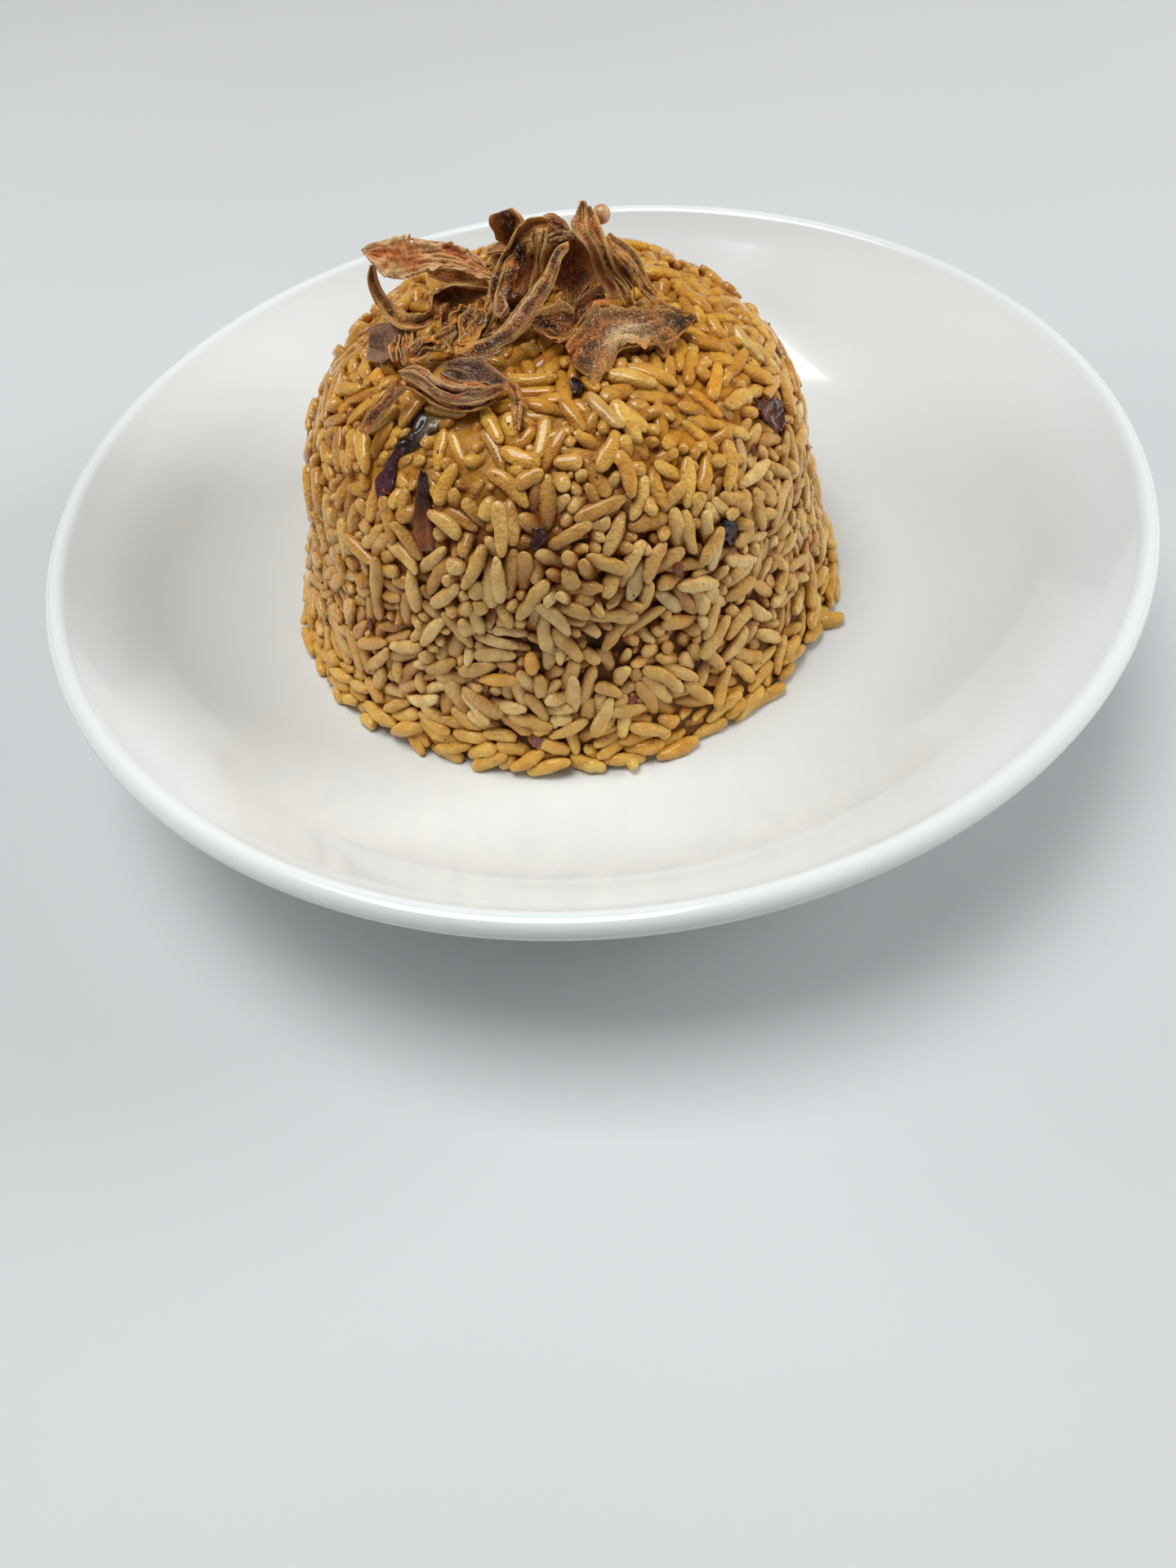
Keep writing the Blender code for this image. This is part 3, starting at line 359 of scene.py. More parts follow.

# %% [markdown]
# ## Where every onion shred lies
# A fried shred is a strip of onion skin that curled while it dried. The solid of each one was drawn between
# its two edges, so the same edges give the finished shred its place. They were read off the photo, and the
# depth that the photo hides was chosen so that no two shreds touch.

# %% The shreds' edges
# A shred: name, slot, how far its middle bows out between its edges in millimetres, and its stations.
# A station is a point on each of the two edges, x, y and height over the table, all in millimetres.
SHREDS = [
    ("onion_flake_left", "onion_grey", -0.4,
     [(-35.6, 3.7, 72.3, -36.4, -1.5, 70.3), (-32.7, 2.8, 73.1, -33.4, -4.4, 71.1),
      (-29.7, 1.7, 73.5, -30.3, -3.6, 72.1), (-26.8, 0.5, 73.4, -27.2, -2, 72.6)]),
    ("onion_fibres_left", "onion_tan", 0.3,
     [(-29.9, -1, 74.2, -28.3, -1.1, 74.2), (-30.2, -3.7, 73.4, -28.6, -4.4, 73.6),
      (-30.4, -7, 73, -28.7, -8, 73.2), (-29.9, -10.8, 72.8, -28.5, -10.9, 73)]),
    ("onion_leaf_inner", "onion_brown", -0.6,
     [(-11.3, 7.8, 76, -11.8, 5.9, 73.6), (-9.1, 6.3, 76.2, -9.5, 4.6, 73.4),
      (-6.9, 6.2, 76.4, -7.2, 4.6, 74)]),
    ("onion_leaf_under", "onion_brown", -0.4,
     [(-12.1, 4.2, 73.7, -13.1, -0.3, 72.7), (-9.8, 4, 74.1, -11.1, -1.1, 72.9),
      (-7.8, 3.7, 74.3, -9.2, 1, 73.3)]),
    ("onion_stub_back", "onion_brown", 1.3,
     [(-11.3, 12.1, 85.6, -8.1, 12.3, 86.2), (-11.5, 12.5, 84, -6.3, 10.5, 84.6),
      (-10.8, 12.9, 82, -7.4, 11.2, 82.4), (-9.9, 13.4, 80, -8.3, 12.4, 80.2),
      (-9.2, 14.3, 78, -8.2, 13.4, 78.2), (-8.5, 15.3, 74.8, -7.5, 14.7, 75),
      (-8, 15.5, 72.8, -7.2, 14.9, 73)]),
    ("onion_fold_left", "onion_gold", -0.4,
     [(-24.7, 16.8, 74.8, -24.5, 16, 74.4), (-22.3, 17, 75, -22.3, 15, 73.6),
      (-19.7, 16.1, 74.8, -20, 14, 73.2), (-17.1, 15.1, 74.4, -17.2, 13.1, 73),
      (-14.7, 13.7, 73.6, -14.7, 13, 73)]),
    ("onion_band_left", "onion_mauve", -0.3,
     [(-22.9, 3.2, 73.3, -23.3, 1.1, 72.7), (-21.1, 4, 73.5, -21.3, 0.3, 72.7),
      (-18.8, 4.1, 74.1, -19.4, 0.9, 72.9)]),
    ("onion_hood_top", "onion_brown", 0.8,
     [(-3.6, 9.2, 84.6, -3.1, 7.7, 83), (-2.3, 10.4, 85, -2.3, 6.7, 83), (-0.6, 9.9, 85, -0.9, 6.7, 83.2),
      (0.6, 8.1, 84.6, 0.4, 6.6, 83.4), (1.4, 6.2, 84, 1.5, 5.9, 83.6)]),
    ("onion_cup_centre", "onion_brown", 1.6,
     [(-2.3, 4.5, 83, 3.7, 4.3, 83), (-3.9, 5.2, 80.1, 4.9, 4.1, 80.1), (-3.7, 5.7, 77.3, 4.9, 4.3, 77.3),
      (-2, 5.4, 75.6, 3.9, 3.9, 75.6), (-0.5, 4.4, 74.3, 2.4, 3.4, 74.3), (-0.1, 2.7, 73.2, 1.2, 2.4, 73.2),
      (-0.7, 0.8, 72.8, 0.1, 0.3, 72.8)]),
    ("onion_strand_back", "onion_tan", -0.2,
     [(7.7, 4.7, 83.4, 7.2, 3.4, 83.4), (9.8, 4, 81.8, 9.1, 2.7, 81.8), (11.4, 4.3, 80, 10.6, 2.5, 80),
      (12.8, 3.7, 78.2, 11.9, 2.3, 78.2), (13.6, 2.9, 76.2, 12.8, 2, 76.2), (14.5, 2.6, 74, 13.8, 1.7, 74),
      (15.2, 2.1, 72.8, 14.7, 1.2, 72.8)]),
    ("onion_strand_right", "onion_tan", -0.2,
     [(7, 2.5, 84, 6.3, 1.6, 84), (8.6, 1.9, 82.4, 7.8, 0.4, 82.4), (10, 1.5, 80.9, 9.1, -0.2, 80.9),
      (11.3, 1.5, 79.2, 10.4, -0.2, 79.2), (12.4, 0.9, 77.1, 11.4, -0.2, 77.1),
      (13.5, 0.6, 75.1, 12.6, -0.5, 75.1), (15.1, -0.4, 73.6, 14.2, -1.5, 73.6),
      (16.7, -1.8, 72.7, 16.1, -2.7, 72.7)]),
    ("onion_rim_top", "onion_tan", -0.2,
     [(-2.9, 4.3, 84.4, -2.7, 3.5, 83.8), (-1, 4.4, 84.8, -1, 3.7, 84.2), (1.1, 4.1, 84.8, 1.2, 3.7, 84.2),
      (3.6, 3.6, 84.6, 3.5, 3.2, 84)]),
    ("onion_twist_centre", "onion_brown", -0.6,
     [(0.7, 0.5, 74, 1.3, -1.4, 73.2), (3.3, 1.7, 74.9, 3.9, -0.9, 73.7), (6, 2.8, 75.1, 6.6, 0.1, 74.1)]),
    ("onion_spike_top", "onion_red", 0.4,
     [(3.7, 4.8, 89.5, 4.2, 4.6, 89.5), (3.1, 4.8, 87.3, 4.1, 4.5, 87.3), (2.2, 3.6, 86.1, 3.8, 2.9, 86.1),
      (2.9, 2.2, 84.7, 4.4, 2.1, 84.7), (4.2, 1.5, 83.1, 5.4, 1.4, 83.1), (4.9, 2.8, 79.9, 6.1, 2.5, 79.9),
      (5.5, 2, 77.8, 7, 1.3, 77.8), (6.6, 0.9, 76.2, 8, 0.8, 76.2), (7.2, -0.4, 74.7, 8.5, -1, 74.7)]),
    ("onion_spike_side", "onion_tan", 0.4,
     [(4.3, 3.7, 89, 4.7, 3.6, 89), (4.3, 3.3, 87.5, 5.3, 3.6, 87.5), (4.1, 1.8, 86.5, 5.9, 1.7, 86.5),
      (4.7, 1.1, 85, 6.3, 0.7, 85), (5.7, 0.2, 83.5, 6.9, -0.6, 83.5), (6.4, 0.3, 81, 7.5, -0.2, 81),
      (7.5, 0.5, 78.3, 8.6, 0.3, 78.3), (8.4, -0.5, 76.7, 9.7, -0.5, 76.7),
      (8.9, -1.8, 75.1, 10.3, -1.7, 75.1), (9.7, -1.4, 73.6, 10.7, -1.4, 73.6)]),
    ("onion_sheet_centre", "onion_brown", -0.5,
     [(-7.3, -2, 74.4, -7, -4.5, 73.4), (-4.4, -1.8, 74.8, -4.7, -6.8, 72.9),
      (-1.6, -1.9, 74.8, -2.4, -8.5, 72.7), (0.5, -3.3, 74.4, -0.3, -7.4, 73)]),
    ("onion_sheet_right", "onion_brown", 1,
     [(-2, -13.5, 74.3, -1.2, -15.7, 72.7), (-0.5, -11, 75.4, 0.4, -16.9, 72.6),
      (1.9, -8.1, 76.4, 2, -19.7, 72.4), (5, -6.4, 76.9, 4.8, -16.3, 72.7),
      (8, -7.2, 76.2, 7.1, -13.3, 73.2), (12.2, -7, 75.8, 11.3, -12.8, 73.2),
      (16.6, -6.3, 74.8, 15.5, -12, 72.6), (19.2, -6.7, 73.8, 18.8, -9.2, 72.6),
      (20.9, -6.5, 73, 20.5, -7.1, 72.8)]),
    ("onion_hook_left", "onion_tan", 0.5,
     [(-33.2, 8.2, 81.5, -32.5, 7.8, 81.5), (-34.1, 8.3, 79.5, -32.8, 8.3, 79.5),
      (-34.1, 8, 77, -32.4, 7.8, 77.3), (-33.3, 6.9, 75.1, -31.6, 7.4, 75.5),
      (-32, 5, 73.8, -30.3, 5.7, 74.4), (-29.7, -1.3, 75.4, -28.1, 0.3, 76.1),
      (-27.3, -2.6, 75.1, -26.3, -0.1, 75.8), (-25.1, -1, 74.3, -24.7, 1.5, 75.1),
      (-23.4, 2, 73.7, -23.6, 3.3, 74.7)]),
    ("onion_loop_left", "onion_tan", -0.8,
     [(-24.1, 0.8, 75.6, -22.4, 1.3, 74.6), (-23.9, 1.4, 77.2, -22.2, 2.9, 75.2),
      (-22.9, 4.2, 77.3, -21.4, 6.3, 74.1), (-20.9, 4.3, 78.1, -20.1, 5.6, 74.1),
      (-18.7, 4.2, 78.2, -18.6, 5.4, 74.2), (-16.5, 3.8, 77.8, -17, 5.4, 74.6),
      (-14.5, 3.9, 77.2, -15, 5.1, 75.4), (-12.8, 3.9, 76.8, -13.1, 4, 76.2)]),
    ("onion_petal_left", "onion_red", -0.4,
     [(-34.5, 11.1, 82.8, -34.3, 11, 82.4), (-31.3, 9.6, 84.2, -32.2, 6.5, 82.2),
      (-28.5, 11.7, 83.5, -30.6, 6.7, 80.3), (-26, 15.8, 80.9, -27.9, 10.8, 77.6),
      (-22.6, 16.2, 79.8, -24.9, 12.6, 77.2), (-19.5, 16.6, 78.8, -21.3, 13.9, 76.5),
      (-17.4, 16, 77.9, -18.2, 13.6, 75.8), (-15.5, 15.2, 77, -15, 12, 75),
      (-13.7, 13.2, 76, -13.2, 11.1, 74.6)]),
    ("onion_twig_inner", "onion_tan", 0.1,
     [(-7.3, 10.9, 78.6, -6.8, 10.3, 78.4), (-8.6, 10.6, 77.6, -8.1, 10, 77.4),
      (-9.7, 10.2, 76.6, -9.1, 9.9, 76.4)]),
    ("onion_arch_left", "onion_tan", 0.5,
     [(-2, 6, 86.5, -2.2, 5.7, 85), (-4.1, 6.1, 87, -3.8, 5.2, 85.2), (-6, 6, 86.6, -5.3, 5.3, 84.2),
      (-7.4, 6.8, 85, -6.7, 6.5, 82.8), (-8.9, 6.9, 82.6, -7.9, 7.1, 81.8),
      (-10.9, 7.3, 80, -9.6, 6.9, 79.6), (-12.3, 4.4, 79.4, -11, 3.8, 79),
      (-13.4, 2.9, 77.3, -12.1, 2, 76.7), (-14.5, 0.4, 75.5, -12.9, -0.9, 75.1),
      (-15.4, -0.4, 73.4, -14.1, -1.5, 73.2), (-16.5, -4.2, 73, -15.6, -4.6, 73)]),
    ("onion_curl_centre", "onion_mauve", 0.3,
     [(-12.3, 1.3, 77.5, -11.3, 0.7, 77.1), (-12.7, -0.7, 76.5, -10.8, -1.7, 76.1),
      (-13.1, -2.7, 75.6, -12.3, -3.6, 75.4)]),
    ("onion_strand_inner", "onion_tan", 0.2,
     [(-5, 4.2, 85.5, -4.3, 4.3, 85.5), (-5.4, 3.9, 83.5, -4.7, 3.5, 83.5),
      (-6.1, 5.6, 79.9, -5.1, 5.1, 79.9), (-6.9, 4.5, 77.6, -5.9, 4, 77.6),
      (-7.4, 3.6, 75.8, -6.8, 3.2, 75.8), (-7.8, 2.6, 74.6, -7.4, 2.2, 74.6)]),
    ("onion_strand_fork", "onion_tan", 0.2,
     [(-3.3, 3.8, 85.8, -2.6, 3.9, 85.8), (-4, 2.4, 84.1, -3.4, 1.9, 84.1),
      (-4.7, 3.3, 81.2, -4.1, 2.6, 81.2), (-5, 2.9, 79.1, -4.2, 2.4, 79.1)]),
    ("onion_tuft_centre", "onion_gold", -0.5,
     [(-17.6, 1.4, 77.2, -14.3, 1.1, 77.2), (-18.5, 0.6, 76, -14.7, -0.8, 76),
      (-19.6, -1.1, 74.7, -15.6, -3, 74.5), (-20.3, -4.5, 74, -17.4, -6.2, 74),
      (-20.6, -8.3, 73.6, -18.9, -9.1, 73.6), (-20.9, -11.2, 73, -20.1, -11.4, 73)]),
    ("onion_ribbon_left", "onion_tan", -0.5,
     [(-28.5, -9.2, 74.7, -27.9, -11.1, 73.9), (-27, -7, 74.9, -26, -9.8, 73.7),
      (-25, -5.6, 74.8, -24.1, -7.5, 73.8), (-22.5, -5.8, 75.1, -21.9, -6.9, 74.5),
      (-19.8, -4.8, 75.8, -19.7, -5.6, 75.2)]),
    ("onion_boat_back", "onion_grey", -0.6,
     [(-22.2, -13.2, 74, -23.2, -14.8, 73.6), (-19.7, -13.5, 74.6, -20.9, -16.5, 73),
      (-17, -13.9, 74.6, -18.4, -17.5, 73), (-14.8, -15.6, 74, -15.9, -18.6, 72.9),
      (-12.8, -18.3, 73.6, -13.6, -19.5, 73), (-11.5, -19.4, 73.2, -12.2, -20.1, 73)]),
    ("onion_boat_under", "onion_brown", -0.3,
     [(-29.4, -13.5, 72.6, -29.2, -14.5, 71.8), (-27.5, -14.7, 72.4, -26.9, -16.3, 71.3),
      (-25.5, -17.3, 72.1, -23.8, -19.6, 70.9), (-22.6, -20.2, 71.7, -21.3, -21.5, 70.8),
      (-19.8, -21.5, 71.7, -18.4, -22.4, 71), (-17, -21.9, 72, -16, -22.4, 71.6),
      (-15.1, -21.3, 72.1, -14.6, -21.6, 71.9)]),
    ("onion_boat_front", "onion_red", 0.4,
     [(-29.8, -13.3, 73.8, -29.6, -14, 73.4), (-27.8, -13.2, 74.3, -27.5, -15.5, 73.1),
      (-25.7, -14.7, 74.7, -25.4, -18.1, 72.9), (-23.9, -17.5, 74.7, -22.5, -20.9, 72.5),
      (-21.8, -19.5, 74.4, -19.7, -22.2, 72.4), (-19.4, -20.3, 74.3, -16.9, -22.6, 72.7),
      (-16.5, -20.7, 73.7, -14.4, -21.8, 72.9), (-13.4, -20.6, 73.3, -12.7, -20.9, 73.1)]),
    ("onion_leg_left", "onion_tan", -0.3,
     [(-30.1, -14.7, 73.7, -28.9, -16.7, 73.1), (-32.3, -15.7, 72, -30.8, -16.8, 71.6),
      (-34.8, -16, 69.9, -33.2, -17, 69.5), (-36.4, -17, 68.6, -35.1, -17.9, 68.2),
      (-37.9, -18.9, 67.4, -37, -19.6, 67)]),
    ("onion_leg_right", "onion_tan", 0.2,
     [(-12.9, -21.1, 74.2, -13, -22.1, 73.8), (-11.4, -20.6, 74.3, -11.9, -22, 73.9),
      (-10.6, -21.4, 73.3, -11.6, -22.6, 73.3), (-10.5, -23.2, 72.2, -11.5, -23.2, 72.2),
      (-10.8, -24.7, 71.3, -11.9, -24.4, 71.3), (-11.1, -26.2, 70.5, -11.9, -26, 70.5),
      (-11.5, -27.7, 69.8, -12, -27.6, 69.8)]),
    ("onion_flap_centre", "onion_mauve", -0.2,
     [(-14.6, -9.8, 73.4, -13.9, -10.8, 73), (-13.5, -8.4, 73.6, -12.7, -10.3, 73.1),
      (-12.6, -8.3, 74, -11.5, -9, 73.4), (-11.3, -7.9, 74.2, -10.7, -8.2, 74)]),
    ("onion_ribbon_long", "onion_tan", -0.4,
     [(0.8, -0.6, 85.4, 0.7, -1, 84.8), (-1.1, -1.4, 85.4, -0.8, -2.2, 84.8),
      (-2.2, -2.4, 84.4, -1.5, -3.2, 84), (-3.3, -3.7, 82.8, -2.3, -3.9, 82.4),
      (-4.9, -4.5, 81.2, -3.7, -5, 80.6), (-6.6, -5.4, 79.8, -5.4, -6.1, 79),
      (-8.8, -6.7, 78.2, -7.5, -7.6, 77.2), (-11.1, -8, 76.6, -10, -9.1, 75.6),
      (-13.6, -9, 75.4, -12.7, -9.9, 74.8), (-15.7, -9.1, 74.7, -15, -10.9, 73.7),
      (-17.6, -9, 74.4, -16.7, -11.3, 73.4), (-19.1, -10.8, 74, -18.6, -11.3, 73.8)]),
    ("onion_back_ribbon", "onion_tan", 0.4,
     [(-18.8, 16, 73, -19.2, 17, 72.8), (-13.6, 17.7, 73.4, -14.4, 20.3, 73.2), (-9, 18, 73.8, -9, 21, 74),
      (-3.8, 17.8, 73.1, -3.2, 20.4, 73.6), (0.8, 17.2, 72.7, 1.2, 18.1, 73)]),
    ("onion_back_leaf", "onion_brown", -0.9,
     [(-13.5, 19.3, 75.2, -12.5, 20.8, 74.4), (-10.4, 16.4, 77.1, -8.6, 20.8, 75.4),
      (-5.9, 14.8, 77.5, -5.1, 20.2, 76), (-1.4, 13.6, 75.9, -1.6, 18.6, 75),
      (2.1, 14.8, 73.8, 1.9, 16.8, 73.6)]),
    ("onion_back_curl", "onion_tan", 0.5,
     [(9.3, 14.9, 72.9, 9.7, 14.2, 72.8), (7.8, 14.4, 75.2, 8.2, 12.4, 74.6),
      (5.5, 13.7, 77.4, 5.3, 11.7, 76.1), (2.7, 14.4, 78.3, 2.5, 13, 76.7),
      (-0, 16.2, 77.2, 0, 15.7, 76.5)]),
    ("onion_back_strand", "onion_tan", 0.2,
     [(13.3, 9.6, 72.8, 13.1, 9.2, 72.8), (11.8, 10.9, 74.7, 11, 9.5, 74.3),
      (9.5, 11.3, 76.4, 8.9, 9.9, 75.8), (7.3, 10.8, 77.5, 7.1, 10.4, 77.1)]),
    ("onion_back_slope", "onion_red", 0.5,
     [(-10.8, 25.3, 72.9, -11.2, 26.2, 72.9), (-5.6, 26.8, 73, -6.4, 29.3, 72.7),
      (-0, 27.7, 73, 0, 30.2, 72.4), (5.4, 27.2, 72.4, 5.6, 28, 72.1)]),
    ("onion_back_flake", "onion_grey", 0.4,
     [(1.2, 21, 73.1, 1.8, 22.5, 72.7), (4, 18, 73.2, 6.4, 22.3, 73), (8.1, 16.9, 72.8, 9.1, 18.4, 73)]),
]

# Onion cooked soft and pressed into the face of the rice, in the same form as the shreds
SOFT_PIECES = [
    ("soft_long", "onion_soft", 0,
     [(-28.9, -16.4, 68.8, -23.7, -20, 69.2), (-30, -18.8, 67.5, -25.5, -21.7, 68),
      (-31.5, -20.1, 66.2, -27.6, -22.8, 66.7), (-33.1, -21.2, 64.8, -31.9, -22.7, 64.6),
      (-35, -22.2, 62.8, -33.1, -23.5, 63.3), (-37, -22.8, 60.7, -33.7, -25, 61.7),
      (-37.6, -24, 59.2, -35.5, -25.6, 59.7), (-37.2, -25.2, 58.4, -36.6, -25.7, 58.5)]),
    ("soft_brown", "onion_soft", 0,
     [(-28.7, -26.4, 63.9, -27.9, -26.8, 64.1), (-29.5, -28, 62.3, -27.9, -28.7, 62.6),
      (-30.5, -29.7, 59.9, -28.1, -30.8, 60.6), (-31.2, -31.5, 57.2, -28.2, -33, 57.9),
      (-31.6, -33, 54.7, -28.2, -34.8, 55.3), (-30.9, -34.3, 53.2, -28.9, -35.4, 53.6)]),
    ("soft_right", "onion_soft", 0,
     [(29.7, -15.9, 62, 30.6, -17.5, 60.1), (31.8, -14.1, 60.8, 31.8, -18.3, 58.2),
      (34, -12.1, 59.4, 34.3, -16.4, 56.2), (35.7, -11.2, 57.5, 36, -13, 56)]),
    ("soft_chip", "onion_soft", 0,
     [(20.6, -35, 51.2, 22, -34, 51.3), (21.7, -35, 49.4, 24.3, -33.2, 49.1),
      (21.8, -35.6, 47.7, 23.7, -34.4, 47.1), (22.4, -35.5, 46.6, 23, -35.1, 46.4)]),
    ("soft_middle", "onion_soft", 0,
     [(-11.3, -38.6, 58.6, -8.9, -38.8, 58.7), (-11.7, -39.5, 57.1, -9.5, -40, 56.8),
      (-12.2, -40.2, 55.8, -11.3, -40.5, 55.5)]),
    ("soft_foot", "onion_soft", 0,
     [(-16.8, -49.9, 19.6, -14.9, -50.3, 19.6), (-17.2, -50.4, 17.7, -15.3, -50.9, 17.6)]),
    ("soft_top", "onion_soft", 0,
     [(-1.7, -16.2, 71.3, 0.2, -17.4, 71.2), (-1.8, -18.8, 71.1, -0.1, -19.4, 71),
      (-1.7, -20.3, 70.9, -0.8, -20.6, 70.8)]),
]


# %% A smooth strip between two edges
STATION_STEPS = 6


def unit(vectors):
    return vectors / np.maximum(np.linalg.norm(vectors, axis=1), 1e-12)[:, None]


def smooth_line(points, steps):
    """A Catmull-Rom curve through the rows of an array."""
    padded = np.concatenate([[points[0] * 2 - points[1]], points, [points[-1] * 2 - points[-2]]])
    a, b, c, d = (padded[k:len(padded) - 3 + k, None] for k in range(4))
    t = (np.arange(steps) / steps)[None, :, None]
    line = 0.5 * (2 * b + (c - a) * t + (2 * a - 5 * b + 4 * c - d) * t**2 + (3 * b - a - 3 * c + d) * t**3)
    return np.concatenate([line.reshape(-1, points.shape[1]), points[-1:]])


class Strip:
    """The middle surface of a shred: any place along it and across it, both from 0 to 1."""

    def __init__(self, bow, stations):
        edges = smooth_line(np.array(stations, float) * MM, STATION_STEPS)
        self.left, self.right = edges[:, :3], edges[:, 3:]
        middle = (self.left + self.right) / 2
        self.travel = np.concatenate([[0], np.cumsum(np.linalg.norm(np.diff(middle, axis=0), axis=1))])
        self.length = self.travel[-1]
        self.width = np.linalg.norm(self.right - self.left, axis=1)
        self.bow = bow * MM * self.width / self.width.max()
        self.normal = unit(np.cross(self.right - self.left, np.gradient(middle, axis=0)))

    def value(self, along, rows):
        return np.interp(along * self.length, self.travel, rows)

    def point(self, along, across):
        left, right, normal = (
            np.stack([self.value(along, rows[:, axis]) for axis in range(3)], axis=1)
            for rows in (self.left, self.right, self.normal)
        )
        share = across[:, None]
        cup = self.value(along, self.bow) * (1 - (2 * across - 1) ** 2)
        return left * (1 - share) + right * share + normal * cup[:, None], normal


strips = {name: Strip(bow, stations) for name, slot, bow, stations in SHREDS + SOFT_PIECES}
longest = max(strip.length for strip in strips.values())
print("strips:", len(strips), "longest", round(longest * 1000, 1), "mm")

# %% [markdown]
# ## The pressed form of the rice
# Warm rice is pressed into a small round-bottomed bowl and turned out, so the outermost grains all touch
# one smooth shape. That shape is an outline turned round an axis a little off the middle of the dish.
# Everything below asks one question of it: how deep under the pressed face is this point, and which way is
# out?

# %% The outline of the form
RICE_CENTRE = np.array([-5.4, 4.2]) * MM
RICE_BASE = 13 * MM
RICE_HEIGHT = 58.3 * MM
BASE_RADIUS = 57.2 * MM
SHOULDER_RADIUS = 49.4 * MM
SHOULDER_DROP = 33 * MM
SHOULDER_RUN = 29.3 * MM
SHOULDER_HEIGHT = RICE_BASE + RICE_HEIGHT - SHOULDER_DROP
FOOT_TUCK = 1.5 * MM
FOOT_TUCK_BEARING = math.radians(322)
OUTLINE_STEPS = 7


def form_outline(steps):
    """Flat on top, round at the shoulder, then nearly straight down to the foot."""
    flat = SHOULDER_RADIUS - SHOULDER_RUN
    points = [(flat * step / steps, RICE_BASE + RICE_HEIGHT) for step in range(steps)]
    for step in range(3 * steps + 1):
        angle = math.pi / 2 * step / (3 * steps)
        out, up = SHOULDER_RUN * math.sin(angle), SHOULDER_DROP * math.cos(angle)
        points.append((flat + out, SHOULDER_HEIGHT + up))
    for step in range(1, 2 * steps + 1):
        share = step / (2 * steps)
        radius = SHOULDER_RADIUS + (BASE_RADIUS - SHOULDER_RADIUS) * share
        points.append((radius, RICE_BASE + (SHOULDER_HEIGHT - RICE_BASE) * (1 - share)))
    return np.array(points)


OUTLINE = form_outline(OUTLINE_STEPS)


def depth_and_way_out(points):
    """For an array of points, how deep each is under the pressed face, and the way straight out of it."""
    offset = points[:, :2] - RICE_CENTRE
    radius = np.hypot(offset[:, 0], offset[:, 1])
    bearing = np.arctan2(offset[:, 1], offset[:, 0])
    low = np.clip(1 - (points[:, 2] - RICE_BASE) / (SHOULDER_HEIGHT - RICE_BASE), 0, 1)
    tuck = FOOT_TUCK * np.maximum(0, np.cos(bearing - FOOT_TUCK_BEARING)) * low
    flat = np.stack([radius + tuck, points[:, 2]], axis=1)
    start, run = OUTLINE[:-1], np.diff(OUTLINE, axis=0)
    share = ((flat[:, None] - start) * run).sum(2) / (run**2).sum(1)
    nearest = start + np.clip(share, 0, 1)[..., None] * run
    pick = np.linalg.norm(flat[:, None] - nearest, axis=2).argmin(axis=1)
    side = unit(np.stack([-run[pick, 1], run[pick, 0]], axis=1))
    outside = ((flat - nearest[np.arange(len(points)), pick]) * side).sum(1)
    round_axis = offset / np.maximum(radius, 1e-9)[:, None]
    return -outside, np.concatenate([round_axis * side[:, :1], side[:, 1:]], axis=1)


print("form:", len(OUTLINE), "points, foot", round(BASE_RADIUS * 2000), "mm across")

# %% [markdown]
# ## Where sauce has set
# On the top, and in a patch down the left side, sauce has run between the grains and set to a golden film
# that they half sink into. Elsewhere the gaps are open and dark. One value from 0 to 1 says how much film
# lies at a place, and the grains, their colour and the core behind them all use it.

# %% The film
FILM_PATCHES = 55
TOP_STARTS, TOP_FADES = 50 * MM, 16 * MM
LEFT_STARTS, LEFT_FADES = 28 * MM, 22 * MM
LEFT_FOOT, LEFT_FOOT_FADES = 22 * MM, 18 * MM


def lump_noise(points, waves):
    """Soft noise at each point, from -1 to 1, with this many waves to the metre."""
    return np.array([noise.noise(Vector(point) * waves) for point in points])


def rising(values, start, fade):
    """0 up to start, then evenly up to 1 over the length of the fade."""
    return np.clip((values - start) / fade, 0, 1)


def film_at(points):
    """How much film lies at each point, from 0 to 1."""
    top = rising(points[:, 2], TOP_STARTS, TOP_FADES)
    left = rising(-points[:, 0], LEFT_STARTS, LEFT_FADES) * rising(points[:, 2], LEFT_FOOT, LEFT_FOOT_FADES)
    return np.clip(top * 1.05 + left * 0.6 + lump_noise(points, FILM_PATCHES) * 0.6 - 0.02, 0, 1)


# %% [markdown]
# ## Packing the grains
# Grains can't be scattered at random, because they would pass through each other. So they are pressed, as
# the cook pressed them: each grain is a rigid row of five balls, all start at random places just under the
# form's face, and in each round every ball that overlaps another or sticks out of the form pushes its grain
# away and turns it. The face turns a grain only a little, so many still stand at a slant and show no more
# than a tip, as in the photo.

# %% Balls that overlap
BALLS = 5
CELLS = 1024


def close_pairs(points, reach):
    """All pairs of points nearer than reach, found by sorting the points into a grid of cells."""
    cells = np.floor(points / reach).astype(np.int64) + CELLS // 2
    keys = (cells[:, 0] * CELLS + cells[:, 1]) * CELLS + cells[:, 2]
    order = np.argsort(keys, kind="stable")
    in_order = keys[order]
    firsts, seconds = [], []
    for neighbour in np.ndindex(3, 3, 3):
        x, y, z = (step - 1 for step in neighbour)
        offset = (x * CELLS + y) * CELLS + z
        low = np.searchsorted(in_order, keys + offset, "left")
        found = np.searchsorted(in_order, keys + offset, "right") - low
        first = np.repeat(np.arange(len(points)), found)
        start = np.repeat(low - np.concatenate([[0], np.cumsum(found)[:-1]]), found)
        second = order[start + np.arange(len(first))]
        keep = first < second
        firsts.append(first[keep])
        seconds.append(second[keep])
    first, second = np.concatenate(firsts), np.concatenate(seconds)
    near = ((points[first] - points[second]) ** 2).sum(1) < reach**2
    return first[near], second[near]


